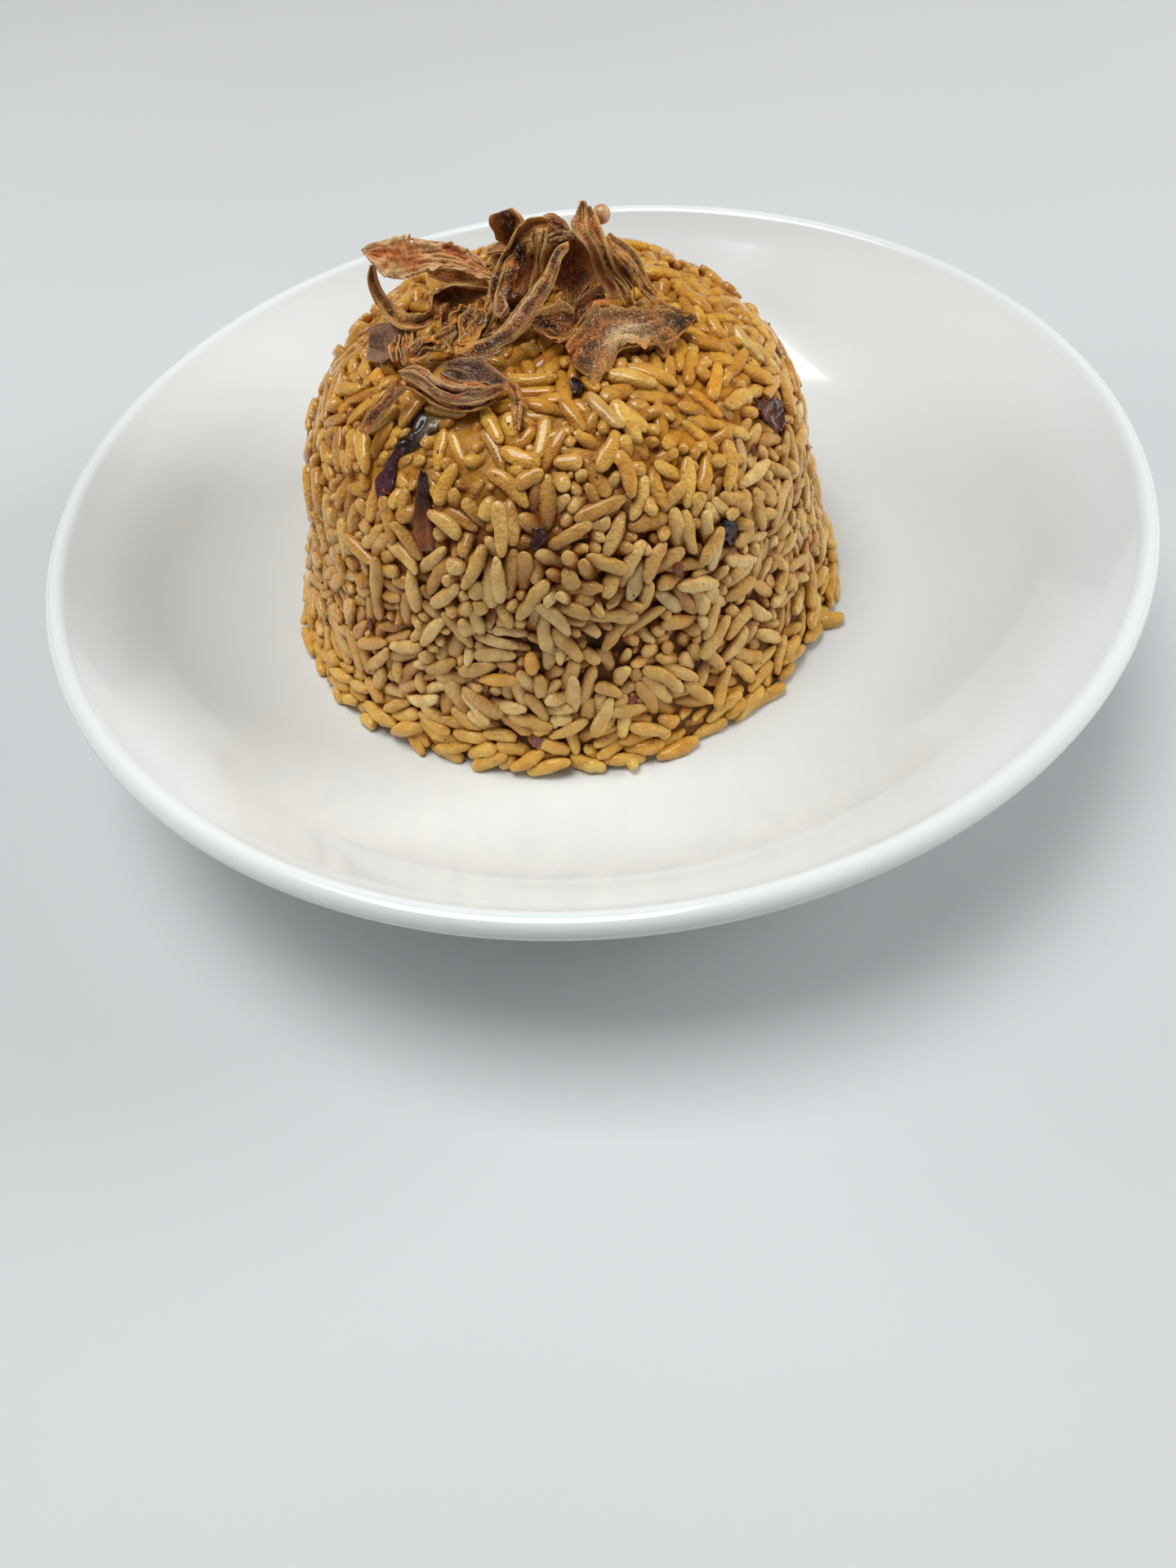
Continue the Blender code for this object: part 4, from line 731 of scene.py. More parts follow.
# %% Random grains to start with
GRAIN_COUNT = 2800
SHELL_DEPTH = 6.6 * MM
GRAIN_LENGTH = (7.2 * MM, 9.4 * MM)
GRAIN_RADIUS = (1.12 * MM, 1.34 * MM)
BROKEN_SHARE = 0.12
BROKEN_LENGTH = (0.42, 0.75)
SHALLOWEST = 1.3 * MM
TILT = math.radians(33)
FOOT_HEIGHT = 19 * MM
draw = np.random.default_rng(11)


def scatter_grains(count):
    """Middles and directions of grains just under the face, evenly by area. At the foot they lie along it."""
    run = np.linalg.norm(np.diff(OUTLINE, axis=0), axis=1)
    area = run * (OUTLINE[:-1, 0] + OUTLINE[1:, 0])
    piece = draw.choice(len(run), count, p=area / area.sum())
    share = draw.random(count)[:, None]
    spot = OUTLINE[piece] * (1 - share) + OUTLINE[piece + 1] * share
    bearing = draw.uniform(0, math.tau, count)
    around = np.stack([np.cos(bearing), np.sin(bearing)], axis=1)
    middle = np.concatenate([RICE_CENTRE + spot[:, :1] * around, spot[:, 1:]], axis=1)
    _, out = depth_and_way_out(middle)
    middle -= out * draw.uniform(SHALLOWEST, SHELL_DEPTH, count)[:, None]
    across = unit(np.cross(out, draw.normal(size=(count, 3))))
    round_foot = np.stack([-around[:, 1], around[:, 0], np.zeros(count)], axis=1)
    across = np.where(middle[:, 2:] < FOOT_HEIGHT, unit(across * 0.5 + round_foot), across)
    tilt = draw.normal(0, TILT, count)[:, None] * np.clip(middle[:, 2:] / FOOT_HEIGHT - 0.7, 0.25, 1)
    return middle, unit(across * np.cos(tilt) + out * np.sin(tilt))


middle, along = scatter_grains(GRAIN_COUNT)
length = draw.uniform(*GRAIN_LENGTH, GRAIN_COUNT)
broken = draw.random(GRAIN_COUNT) < BROKEN_SHARE
length = np.where(broken, length * draw.uniform(*BROKEN_LENGTH, GRAIN_COUNT), length)
thick = draw.uniform(*GRAIN_RADIUS, GRAIN_COUNT)
print("grains to press:", GRAIN_COUNT, "mean length", round(float(length.mean()) * 1000, 2), "mm")

# %% Soft onion pieces keep their room
SOFT_BALL = 0.6 * MM
SOFT_SINK = 0.7 * MM


def balls_on(strip):
    """Points a millimetre apart over a soft piece."""
    rows = np.linspace(0, 1, max(2, round(strip.length / MM)))
    columns = np.linspace(0.2, 0.8, max(2, round(strip.width.max() / MM)))
    along, across = (grid.ravel() for grid in np.meshgrid(rows, columns))
    return sunk(strip.point(along, across)[0])


def sunk(points):
    """The same points pressed a little into the face, so that grains overlap the edges of what lies there."""
    return points - depth_and_way_out(points)[1] * SOFT_SINK


soft_balls = np.concatenate([balls_on(strips[name]) for name, *_ in SOFT_PIECES])
print("soft pieces take", len(soft_balls), "balls")

# %% Pressing
PRESS_ROUNDS = 75
SETTLE_ROUNDS = 15
SKIRT_HEIGHT = 7 * MM
SKIRT_SPREAD = 1.0 * MM
FACE_GIVE = 0.72
SAUCE_GIVE = 0.5 * MM
BOWL_ROOM = 0.15 * MM
WALL_TURN = 0.45
MOVE_STRENGTH = 1.25
TURN_STRENGTH = 0.9
OUTWARD_SHARE = 0.07
LIFT = (-1.0 * MM, 0.55 * MM)
lift = draw.uniform(*LIFT, GRAIN_COUNT)


def wall_pushes(balls, radius, lift):
    """How far each ball is pushed back by the form, by the sauce behind the shell and by the bowl below."""
    depth, out = depth_and_way_out(balls)
    skirt = SKIRT_SPREAD * np.clip(1 - (balls[:, 2] - RICE_BASE) / SKIRT_HEIGHT, 0, 1)
    proud = np.maximum(radius * FACE_GIVE - depth - skirt - lift, 0)
    deep = np.maximum(depth - SHELL_DEPTH - SAUCE_GIVE, 0)
    push = out * (deep - proud)[:, None]
    floor = bowl_inside_height(np.hypot(balls[:, 0], balls[:, 1])) + radius + BOWL_ROOM
    push[:, 2] += np.maximum(floor - balls[:, 2], 0)
    return push


def total_per_grain(grain, values, count):
    return np.stack([np.bincount(grain, values[:, axis], count) for axis in range(3)], axis=1)


def press_grains(middle, along, rounds):
    """Moves and turns the grains until they hardly overlap or leave the form. The soft pieces stay."""
    count = len(middle)
    places = np.linspace(-1, 1, BALLS)
    lever = (length / 2 - thick * 0.8)[:, None] * places
    radius = (thick[:, None] * (1 - 0.2 * places**2)).ravel()
    owner, arm = np.repeat(np.arange(count), BALLS), lever.ravel()
    all_radius = np.concatenate([radius, np.full(len(soft_balls), SOFT_BALL)])
    all_owner = np.concatenate([owner, np.full(len(soft_balls), -1)])
    for step in range(rounds):
        balls = (middle[:, None] + along[:, None] * lever[..., None]).reshape(-1, 3)
        everything = np.concatenate([balls, soft_balls])
        first, second = close_pairs(everything, 2 * thick.max())
        apart = everything[first] - everything[second]
        gap = np.linalg.norm(apart, axis=1)
        overlap = all_radius[first] + all_radius[second] - gap
        hit = (overlap > 0) & (all_owner[first] != all_owner[second])
        first, second, overlap = first[hit], second[hit], overlap[hit]
        share = np.where(all_owner[second] < 0, 1.0, 0.5)
        push = apart[hit] / np.maximum(gap[hit], 1e-9)[:, None] * (overlap * share)[:, None]
        wall = wall_pushes(balls, radius, np.repeat(lift, BALLS))
        touched = np.flatnonzero(np.abs(wall).sum(1) > 0)
        other = second < len(balls)
        ball = np.concatenate([first, second[other], touched])
        pushes = np.concatenate([push, -push[other], wall[touched]])
        weight = np.ones(len(ball))
        weight[len(first) + other.sum():] = WALL_TURN
        grain = owner[ball]
        hits = np.maximum(np.bincount(grain, minlength=count), 1)[:, None]
        turning = pushes - (pushes * along[grain]).sum(1)[:, None] * along[grain]
        turn = total_per_grain(grain, turning * (arm[ball] * weight)[:, None], count)
        spread = np.bincount(grain, arm[ball] ** 2, count) + MM**2
        middle = middle + total_per_grain(grain, pushes, count) / hits * MOVE_STRENGTH
        along = unit(along + turn / spread[:, None] * TURN_STRENGTH)
        if step < rounds - SETTLE_ROUNDS:
            middle = middle + depth_and_way_out(middle)[1] * OUTWARD_SHARE * MM
    mean = round(float(overlap.mean()) * 1000, 3)
    print("left overlapping:", mean, "mm on average at", len(overlap), "places")
    return middle, along


middle, along = press_grains(middle, along, PRESS_ROUNDS)

# %% [markdown]
# ## Strays at the foot
# When the form is lifted a few grains stay on the bowl, half under the heap, and point away from it. They
# are given one by one: where they stand round the heap, how far their middle is from its axis, and how far
# they are turned.

# %% Stray grains
# Each: bearing round the heap in degrees, distance of its middle from the axis in millimetres, and its own
# turn.
STRAYS = np.array([
    (223, 53, 20), (236, 53.5, -35), (258, 53.4, 80), (268, 55.4, 62), (276, 54.6, 12), (299, 53.8, -70),
    (307, 55.6, 75), (332, 56.2, 30), (196, 56, 85), (210, 56.4, 60), (15, 57.6, 70), (62, 57.4, 40),
    (97, 58.2, 80), (131, 57.8, 15), (163, 57.2, 65),
])
STRAY_LENGTH = (7.4 * MM, 9 * MM)
STRAY_RADIUS = 1.35 * MM
STRAY_ROOM = 0.1 * MM
STRAY_RISE = 0.06
bearing = np.radians(STRAYS[:, 0])
stray_out = np.stack([np.cos(bearing), np.sin(bearing)], axis=1)
stray_middle = RICE_CENTRE + stray_out * STRAYS[:, 1:2] * MM
stray_turn = bearing + np.radians(STRAYS[:, 2])
stray_thick = np.full(len(STRAYS), STRAY_RADIUS)
stray_height = bowl_inside_height(np.hypot(*stray_middle.T)) + stray_thick + STRAY_ROOM
stray_rise = np.full(len(STRAYS), STRAY_RISE)
stray_along = np.column_stack([np.cos(stray_turn), np.sin(stray_turn), stray_rise])
middle = np.concatenate([middle, np.column_stack([stray_middle, stray_height])])
along = unit(np.concatenate([along, stray_along]))
length = np.concatenate([length, draw.uniform(*STRAY_LENGTH, len(STRAYS))])
thick = np.concatenate([thick, stray_thick])
print("grains in all:", len(middle))

# %% [markdown]
# ## One grain, eight times
# A cooked grain is a blunt spindle, a little flattened, a little bent, with a nick at the end where the
# germ was. Each of the eight grains starts as a ball that is stretched, tapered and bent by moving its
# points. Every grain in the dome is a copy of one of them at its own length and thickness.

# %% Grain shapes
GRAIN_KINDS = 8
GRAIN_SEGMENTS = 12
GRAIN_RINGS = 10


def make_grain(kind):
    """A grain of length 1 along X and thickness 1. The poles of the ball become its tips."""
    dice = random.Random(100 + kind)
    bpy.ops.mesh.primitive_uv_sphere_add(
        segments=GRAIN_SEGMENTS, ring_count=GRAIN_RINGS, radius=0.5, rotation=(0, math.pi / 2, 0)
    )
    grain = name_piece(f"grain_kind_{kind}")
    bend, flat, lean = dice.uniform(0.02, 0.22), dice.uniform(0.78, 0.97), dice.uniform(-0.2, 0.2)
    sideways, ridge = dice.uniform(-0.12, 0.12), dice.uniform(0.02, 0.07)
    blunt, nick = dice.uniform(0.38, 0.52), dice.uniform(0.05, 0.22)
    seed = Vector((kind * 7.3, 0, 0))
    for vert in grain.data.vertices:
        at = vert.co.x * 2
        belly = max(1 - abs(at) ** 2.8, 0) ** blunt
        round_part = math.hypot(vert.co.y, vert.co.z) or 1
        grow = 0.5 * belly * (1 + lean * at) / round_part
        lumps = 1 + 0.3 * noise.noise(Vector((at * 2.1, vert.co.y * 2.6, vert.co.z * 2.6)) + seed)
        lumps *= 1 + ridge * math.cos(4 * math.atan2(vert.co.z, vert.co.y) + kind)
        germ = nick * math.exp(-(((at - 0.72) / 0.2) ** 2)) if vert.co.z > 0 else 0
        vert.co.y = vert.co.y * grow * lumps + sideways * (0.45 - at * at)
        vert.co.z = (vert.co.z * grow * lumps) * (flat - germ) + bend * (0.45 - at * at)
    return grain


grain_kinds = [make_grain(kind) for kind in range(GRAIN_KINDS)]
print("one grain has", len(grain_kinds[0].data.polygons), "faces")

# %% [markdown]
# ## Laying the grains
# Thousands of objects would be slow, so all grains of one kind become one mesh: the kind's points are
# copied once for each grain, turned and stretched with arrays, and joined. Four values ride along on the
# points. Tone is one random number for the whole grain, film says how much sauce lies round it, tip runs
# from 0 at its belly to 1 at its ends, and gap runs from 0 at the face to 1 deep between the grains, where
# the rice finish darkens the colour as painted shade.

# %% Joined meshes of grains
SQUEEZE = 1.13
ROLL = 0.7
FACE_ROOM = 0.12 * MM
FACE_SQUASH = 0.8
GAP_START = 0.1 * MM
GAP_END = 2.3 * MM


def press_flat(points, room):
    """Squashes what stands out of the form, as the form did, and says how far into a gap each point is, for
    the painted shade there.
    """
    depth, out = depth_and_way_out(points)
    in_form = points[:, 2] > RICE_BASE + SKIRT_HEIGHT
    excess = np.where(in_form, np.maximum(-depth - room, 0), 0)
    gap_shade = np.clip((depth - GAP_START) / (GAP_END - GAP_START), 0, 1)
    return points - out * (excess * FACE_SQUASH)[:, None], gap_shade


def turned_frames(along, out, roll):
    """Three axes for each grain: along it, across it and out of its back, turned by roll about it."""
    across = unit(np.cross(out, along))
    back = np.cross(along, across)
    side = across * np.cos(roll)[:, None] + back * np.sin(roll)[:, None]
    return np.stack([along, side, np.cross(along, side)], axis=2)


def lay_copies(name, kind, middle, frames, size, values, room=None):
    """One mesh with a copy of the kind for each row of the arrays."""
    shape = points_of(kind)
    count = len(shape)
    points = (np.einsum("nij,nvj->nvi", frames, shape * size[:, None]) + middle[:, None]).reshape(-1, 3)
    gap_shade = np.zeros(len(points))
    if room is not None:
        points, gap_shade = press_flat(points, np.repeat(room, count))
    faces = [tuple(polygon.vertices) for polygon in kind.data.polygons]
    shifted = [tuple(corner + row * count for corner in face) for row in range(len(middle)) for face in faces]
    mesh = bpy.data.meshes.new(name)
    mesh.from_pydata(points, [], shifted)
    for value_name, value in values.items():
        keep_value(mesh, value_name, np.repeat(value, count))
    keep_value(mesh, "tip", np.tile(np.clip(np.abs(shape[:, 0]) * 2, 0, 1), len(middle)))
    keep_value(mesh, "gap", gap_shade)
    mesh.shade_smooth()
    piece = bpy.data.objects.new(name, mesh)
    bpy.context.scene.collection.objects.link(piece)
    return piece


_, way_out = depth_and_way_out(middle)
roll = draw.normal(0, ROLL, len(middle)) + math.pi * draw.integers(0, 2, len(middle))
frames = turned_frames(along, way_out, roll)
sizes = np.stack([length, thick * 2 * SQUEEZE, thick * 2 * SQUEEZE], axis=1)
tones, film = draw.random(len(middle)), film_at(middle)
room = np.concatenate([lift, np.zeros(len(STRAYS))]) + FACE_ROOM
grain_pieces = []
for kind, shape in enumerate(grain_kinds):
    rows = np.arange(kind, len(middle), GRAIN_KINDS)
    values = {"tone": tones[rows], "film": film[rows]}
    arrays = (middle[rows], frames[rows], sizes[rows], values, room[rows])
    grain_pieces.append(lay_copies(f"rice_grains_{kind}", shape, *arrays))
    bpy.data.objects.remove(shape)
print("grains laid with", sum(len(piece.data.polygons) for piece in grain_pieces), "faces")

# %% [markdown]
# ## The core behind the grains, with painted shade
# Between grains one looks into shadow and into the starchy sauce that holds them. A core of the same form
# closes the gaps. It lies deep where the gaps are open, and comes up between the grains where the film has
# set. Where there is no film it is painted nearly black as painted shade, and under the film it takes the
# golden brown of the sauce.

# %% Core of the dome
CORE_DEPTH = 2.5 * MM
FILM_DEPTH = 1.45 * MM
CORE_LUMPS = 380
CORE_LUMP_SHARE = 0.7
CORE_SIDES = 260
CORE_STEPS = 14


def make_core():
    outline = [tuple(point) for point in form_outline(CORE_STEPS)]
    outline += [(outline[-1][0] - 2 * MM, RICE_BASE), (0, RICE_BASE)]
    core = spin_outline("rice_core", outline, CORE_SIDES)
    core.data.transform(Matrix.Translation((*RICE_CENTRE, 0)))
    points = points_of(core)
    film = film_at(points)
    _, out = depth_and_way_out(points)
    lumps = lump_noise(points, CORE_LUMPS)
    depth = CORE_DEPTH + (FILM_DEPTH - CORE_DEPTH) * film - lumps * CORE_LUMP_SHARE * MM
    points -= out * depth[:, None]
    points[:, 2] = np.maximum(points[:, 2], RICE_BASE - 0.5 * MM)
    move_points(core, points)
    keep_value(core.data, "film", film)
    return core


core = make_core()
print("core:", len(core.data.polygons), "faces")

# %% [markdown]
# ## The colour of spiced rice
# The stock stains the grains with browned onion: tan where they are dry, amber and shiny where sauce has
# run over them, and orange round the foot. No two grains match, and their tips are paler than their
# bellies.

# %% Rice finish
# Each list says which colour the grains take by their tone: a few pale ones, tan to gold for most, a few
# orange ones.
DRY_GRAINS = [(0.0, (0.76, 0.61, 0.33)), (0.04, (0.66, 0.37, 0.09)), (0.5, (0.79, 0.49, 0.15)),
              (0.97, (0.91, 0.65, 0.27)), (1.0, (0.92, 0.44, 0.03))]
WET_GRAINS = [(0.0, (0.82, 0.56, 0.16)), (0.04, (0.65, 0.28, 0.015)), (0.5, (0.80, 0.39, 0.028)),
              (0.97, (0.92, 0.53, 0.075)), (1.0, (0.98, 0.40, 0.008))]
FOOT_GRAINS = [(0.0, (0.86, 0.43, 0.045)), (1.0, (0.96, 0.60, 0.11))]
# The second colour here is the painted shade that darkens the gaps between grains.
PALE_TIP, PAINTED_GAP_SHADE = (0.78, 0.54, 0.20), (0.48, 0.21, 0.06)
STAIN_BROWN, FINE_GREY = (0.78, 0.60, 0.42), (0.75, 0.66, 0.5)
FOOT_TOP, FOOT_FULL, FOOT_WANDER = 24 * MM, 16 * MM, 10 * MM


def rice_finish():
    rice = Finish("spiced_rice", Subsurface_Weight=0.25, Subsurface_Scale=0.001, Specular_IOR_Level=0.4,
                  Coat_Roughness=0.08)
    rice.surface.inputs["Subsurface Radius"].default_value = (1.0, 0.45, 0.18)
    place = rice.place()
    height = rice.part_of(place, 2)
    tone, tip, film = rice.attribute("tone"), rice.attribute("tip"), rice.attribute("film")
    patch = rice.cloud(place, 16 * MM, 2.0)
    stain = rice.cloud(place, 2.6 * MM, 3.0)
    fine = rice.cloud(place, 0.5 * MM, 4.0, 0.6)
    dry, wet, foot = (rice.ramp(tone, stops) for stops in (DRY_GRAINS, WET_GRAINS, FOOT_GRAINS))
    foot_share = (height + (patch - 0.5) * FOOT_WANDER).between(FOOT_TOP, FOOT_FULL)
    colour = rice.blend(film, dry, wet)
    colour = rice.blend(foot_share * 0.85, colour, foot)
    colour = rice.blend((tip**3) * 0.25, colour, PALE_TIP)
    # Deep between the grains the colour is multiplied down to dark brown: painted shade in the gaps.
    colour = rice.blend(rice.attribute("gap") * 0.95, colour, PAINTED_GAP_SHADE, "MULTIPLY")
    colour = rice.blend(stain.between(0.42, 0.62) * 0.6, colour, STAIN_BROWN, "MULTIPLY")
    colour = rice.blend(fine.between(0.5, 0.8) * 0.3, colour, FINE_GREY, "MULTIPLY")
    rough = 0.38 - film * 0.1 + (fine - 0.5) * 0.4
    relief = rice.bump(rice.cloud(place, 0.9 * MM, 3.0) * 1.2 + fine * 0.8, 0.6 * MM, 1.0)
    return rice.wear(Base_Color=colour, Roughness=rough, Coat_Weight=film * 0.55 + 0.42, Normal=relief)


def sauce_and_shade_finish():
    sauce = Finish("set_sauce_and_shade", Subsurface_Weight=0.2, Subsurface_Scale=0.001, Specular_IOR_Level=0.25)
    place = sauce.place()
    film = sauce.attribute("film")
    lumps = sauce.cloud(place, 2.2 * MM, 4.0)
    # Where there is no film the core is painted nearly black: painted shade of the rice deeper in, over the
    # brown of the sauce.
    stops = [(0.0, (0.10, 0.034, 0.008)), (0.45, (0.30, 0.12, 0.015)), (1.0, (0.56, 0.25, 0.025))]
    colour = sauce.ramp(film, stops)
    colour = sauce.blend(lumps.between(0.35, 0.65) * 0.5, colour, (0.6, 0.5, 0.4), "MULTIPLY")
    relief = sauce.bump(lumps, 0.9 * MM, 1.0)
    return sauce.wear(Base_Color=colour, Roughness=0.5 - film * 0.12, Normal=relief)


rice_material = rice_finish()
for piece in grain_pieces:
    piece.data.materials.append(rice_material)
core.data.materials.append(sauce_and_shade_finish())
for piece in [core, *grain_pieces]:
    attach(piece, "root")
    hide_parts("rice")

# %% [markdown]
# ## Crisping the shreds
# In hot oil a strip of onion dries to a brittle leaf a third of a millimetre thick. Its veins stand up as
# ribs, its edges shrink and curl, and the sheet between them blisters. Each shred starts as a flat grid
# that is laid along its strip, and these four movements are added to its points before it gets its
# thickness. How high the ribs and blisters stand is kept on the points as their ridge value, and patches of
# colour as their stain. The colour reads both, and the ridge value paints raised parts lighter and hollows
# darker as painted light and shade.

# %% Colours as a cook would name them
def paint(red, green, blue):
    """A colour as a screen shows it, 0 to 255, turned into the linear values that the shader wants."""
    values = [channel / 255 for channel in (red, green, blue)]
    linear = [value / 12.92 if value < 0.04045 else ((value + 0.055) / 1.055) ** 2.4 for value in values]
    return tuple(round(value, 4) for value in linear)


BURNT = paint(38, 14, 10)
MAROON = paint(78, 28, 20)
PLUM = paint(112, 58, 42)
RUST = paint(176, 84, 44)
AMBER = paint(214, 128, 44)
STRAW = paint(240, 184, 106)
CREAM = paint(255, 218, 164)
ROSE = paint(190, 124, 94)

# %% What is special about some shreds
# Rib height, blisters, edge curl, hems and thickness are in millimetres. The strip is widened by a factor.
# A stain is a colour round a place along and across the strip, with its two half sizes as shares of the
# strip and its strength.
PLAIN_LOOK = {"ribs": 3, "rib": 0.26, "blister": 0.8, "curl": 0.7, "thick": 0.32, "widen": 1.15, "hem": 0.55,
              "ragged": 1, "strands": 0, "threads": 0, "stains": []}
LOOKS = {
    "onion_petal_left": {"ribs": 5, "rib": 0.3, "blister": 1.1, "ragged": 2, "hem": 0.3, "stains": [
        (0.55, 0.25, 0.16, 0.4, PLUM, 0.2), (0.12, 0.5, 0.15, 0.6, RUST, 0.3),
        (0.75, 0.75, 0.2, 0.3, STRAW, 0.7), (0.35, 0.6, 0.1, 0.25, STRAW, 0.6)]},
    "onion_fold_left": {"blister": 0.3, "stains": [
        (0.4, 0.5, 0.4, 0.4, AMBER, 0.5), (0.8, 0.5, 0.2, 0.5, STRAW, 0.5)]},
    "onion_hook_left": {"ribs": 2, "curl": 0.4, "stains": [
        (0.55, 0.5, 0.3, 0.2, BURNT, 0.85), (0.85, 0.7, 0.25, 0.35, BURNT, 0.8),
        (0.1, 0.5, 0.15, 0.6, STRAW, 0.4)]},
    "onion_loop_left": {"ribs": 2, "curl": 0.35, "stains": [(0.5, 0.75, 0.5, 0.35, MAROON, 0.85)]},
    "onion_arch_left": {"ribs": 2, "curl": 0.45, "threads": 3, "stains": [
        (0.5, 0.5, 0.45, 0.17, BURNT, 0.85), (0.04, 0.5, 0.1, 0.5, AMBER, 0.9)]},
    "onion_hood_top": {"blister": 0.35, "stains": [
        (0.5, 0.6, 0.3, 0.3, MAROON, 0.6), (0.2, 0.3, 0.2, 0.3, RUST, 0.7)]},
    "onion_cup_centre": {"ribs": 2, "blister": 0.4, "stains": [
        (0.12, 0.5, 0.14, 0.8, MAROON, 0.5), (0.5, 0.5, 0.2, 0.3, ROSE, 0.5),
        (0.78, 0.3, 0.14, 0.5, AMBER, 0.85), (0.95, 0.5, 0.12, 0.8, STRAW, 0.9)]},
    "onion_leaf_inner": {"stains": [(0.5, 0.0, 0.8, 0.2, STRAW, 0.7)]},
    "onion_leaf_under": {"stains": [(0.5, 0.5, 0.6, 0.5, MAROON, 0.6)]},
    "onion_spike_top": {"ribs": 4, "rib": 0.18, "widen": 1.5, "stains": [(0.72, 0.5, 0.12, 0.6, AMBER, 0.9)]},
    "onion_spike_side": {"ribs": 4, "rib": 0.16, "widen": 1.4, "threads": 2},
    "onion_strand_right": {"threads": 2},
    "onion_strand_back": {"threads": 1},
    "onion_strand_inner": {"threads": 1},
    "onion_rim_top": {"threads": 2},
    "onion_sheet_right": {"rib": 0.3, "blister": 1.3, "curl": 0.6, "ragged": 1.6, "stains": [
        (0.48, 0.66, 0.22, 0.3, CREAM, 1.0), (0.86, 0.3, 0.2, 0.7, BURNT, 0.95),
        (0.6, 0.08, 0.5, 0.26, BURNT, 0.95), (0.16, 0.5, 0.12, 0.5, BURNT, 0.6)]},
    "onion_sheet_centre": {"threads": 3, "stains": [
        (0.5, 0.5, 0.6, 0.6, MAROON, 0.6), (0.5, 0.0, 0.8, 0.12, STRAW, 0.8)]},
    "onion_tuft_centre": {"strands": 3, "widen": 1.2},
    "onion_fibres_left": {"strands": 4, "widen": 1.9},
    "onion_band_left": {"strands": 3, "widen": 1.3},
    "onion_ribbon_left": {"ribs": 2, "threads": 3, "stains": [
        (0.6, 0.5, 0.4, 0.16, BURNT, 0.8), (0.9, 0.8, 0.2, 0.3, PLUM, 0.6)]},
    "onion_ribbon_long": {"rib": 0.25, "curl": 0.9, "widen": 1.6, "stains": [
        (0.5, 0.1, 0.6, 0.16, CREAM, 0.8), (0.5, 0.9, 0.6, 0.16, CREAM, 0.8),
        (0.45, 0.5, 0.5, 0.13, BURNT, 0.9)]},
    "onion_flap_centre": {"stains": [(0.5, 0.5, 0.5, 0.4, ROSE, 0.7)]},
    "onion_curl_centre": {"stains": [(0.5, 0.4, 0.5, 0.4, ROSE, 0.6)]},
    "onion_boat_front": {"ribs": 2, "rib": 0.3, "blister": 1.1, "threads": 1, "stains": [
        (0.5, 0.5, 0.9, 0.9, MAROON, 0.6), (0.08, 0.5, 0.12, 0.6, RUST, 0.6),
        (0.5, 0.5, 0.7, 0.34, BURNT, 1.0), (0.5, 0.0, 0.7, 0.1, STRAW, 0.8),
        (0.5, 1.0, 0.7, 0.1, STRAW, 0.8)]},
    "onion_boat_back": {"ribs": 4, "threads": 2, "stains": [
        (0.5, 0.5, 0.9, 0.9, MAROON, 0.5), (0.5, 0.7, 0.5, 0.3, BURNT, 0.85),
        (0.5, 0.0, 0.8, 0.1, STRAW, 0.6)]},
    "onion_boat_under": {"stains": [(0.5, 0.5, 0.6, 0.6, PLUM, 0.35)]},
    "onion_flake_left": {"rib": 0.06, "blister": 0.12, "curl": 0.1, "stains": [
        (0.7, 0.5, 0.3, 0.5, ROSE, 0.4)]},
    "onion_leg_left": {"ribs": 2, "stains": [(0.5, 0.5, 0.4, 0.2, PLUM, 0.7)]},
    "onion_stub_back": {"blister": 0.3, "stains": [
        (0.3, 0.5, 0.3, 0.6, BURNT, 0.5), (0.03, 0.5, 0.05, 0.9, ROSE, 0.7)]},
    "onion_twist_centre": {"ribs": 4, "blister": 0.35},
}

# %% One crisp sheet
GRID_LENGTH = 0.6 * MM
GRID_WIDTH = 0.3 * MM
UV_TURNS = 89


def laid_grid(name, strip, low=0.0, high=1.0):
    """A flat grid with its points' places along and across the strip, and its UV map in centimetres along."""
    columns = int(np.clip(strip.width.max() * (high - low) / GRID_WIDTH, 5, 18))
    rows = int(np.clip(strip.length / GRID_LENGTH, 8, 60))
    bpy.ops.mesh.primitive_grid_add(x_subdivisions=columns, y_subdivisions=rows, size=2)
    grid = name_piece(name)
    flat = points_of(grid)
    along, across = (flat[:, 1] + 1) / 2, low + (high - low) * (flat[:, 0] + 1) / 2
    layer = grid.data.uv_layers.active.data
    corners = np.empty(len(layer) * 2)
    layer.foreach_get("uv", corners)
    corners = corners.reshape(-1, 2)
    corners[:, 1] = corners[:, 1] * strip.length * 100 + (name_number(name) % UV_TURNS)
    layer.foreach_set("uv", corners.ravel())
    return grid, along, across


def smooth_noise(places, others, seed):
    """Soft noise from -1 to 1 at each pair of places, one wave to the unit."""
    return np.array([noise.noise(Vector((place, other, seed))) for place, other in zip(places, others)])


def stains_at(along, across, stains):
    """A colour and how strongly it covers, for each place on a strip."""
    stain = np.zeros((len(along), 4))
    for place, middle, half_length, half_width, colour, strength in stains:
        away = ((along - place) / half_length) ** 2 + ((across - middle) / half_width) ** 2
        amount = strength * np.exp(-away)
        mix = (amount / np.maximum(amount + stain[:, 3], 1e-6))[:, None]
        stain[:, :3] = stain[:, :3] * (1 - mix) + np.array(colour) * mix
        stain[:, 3] = np.maximum(stain[:, 3], amount)
    return stain


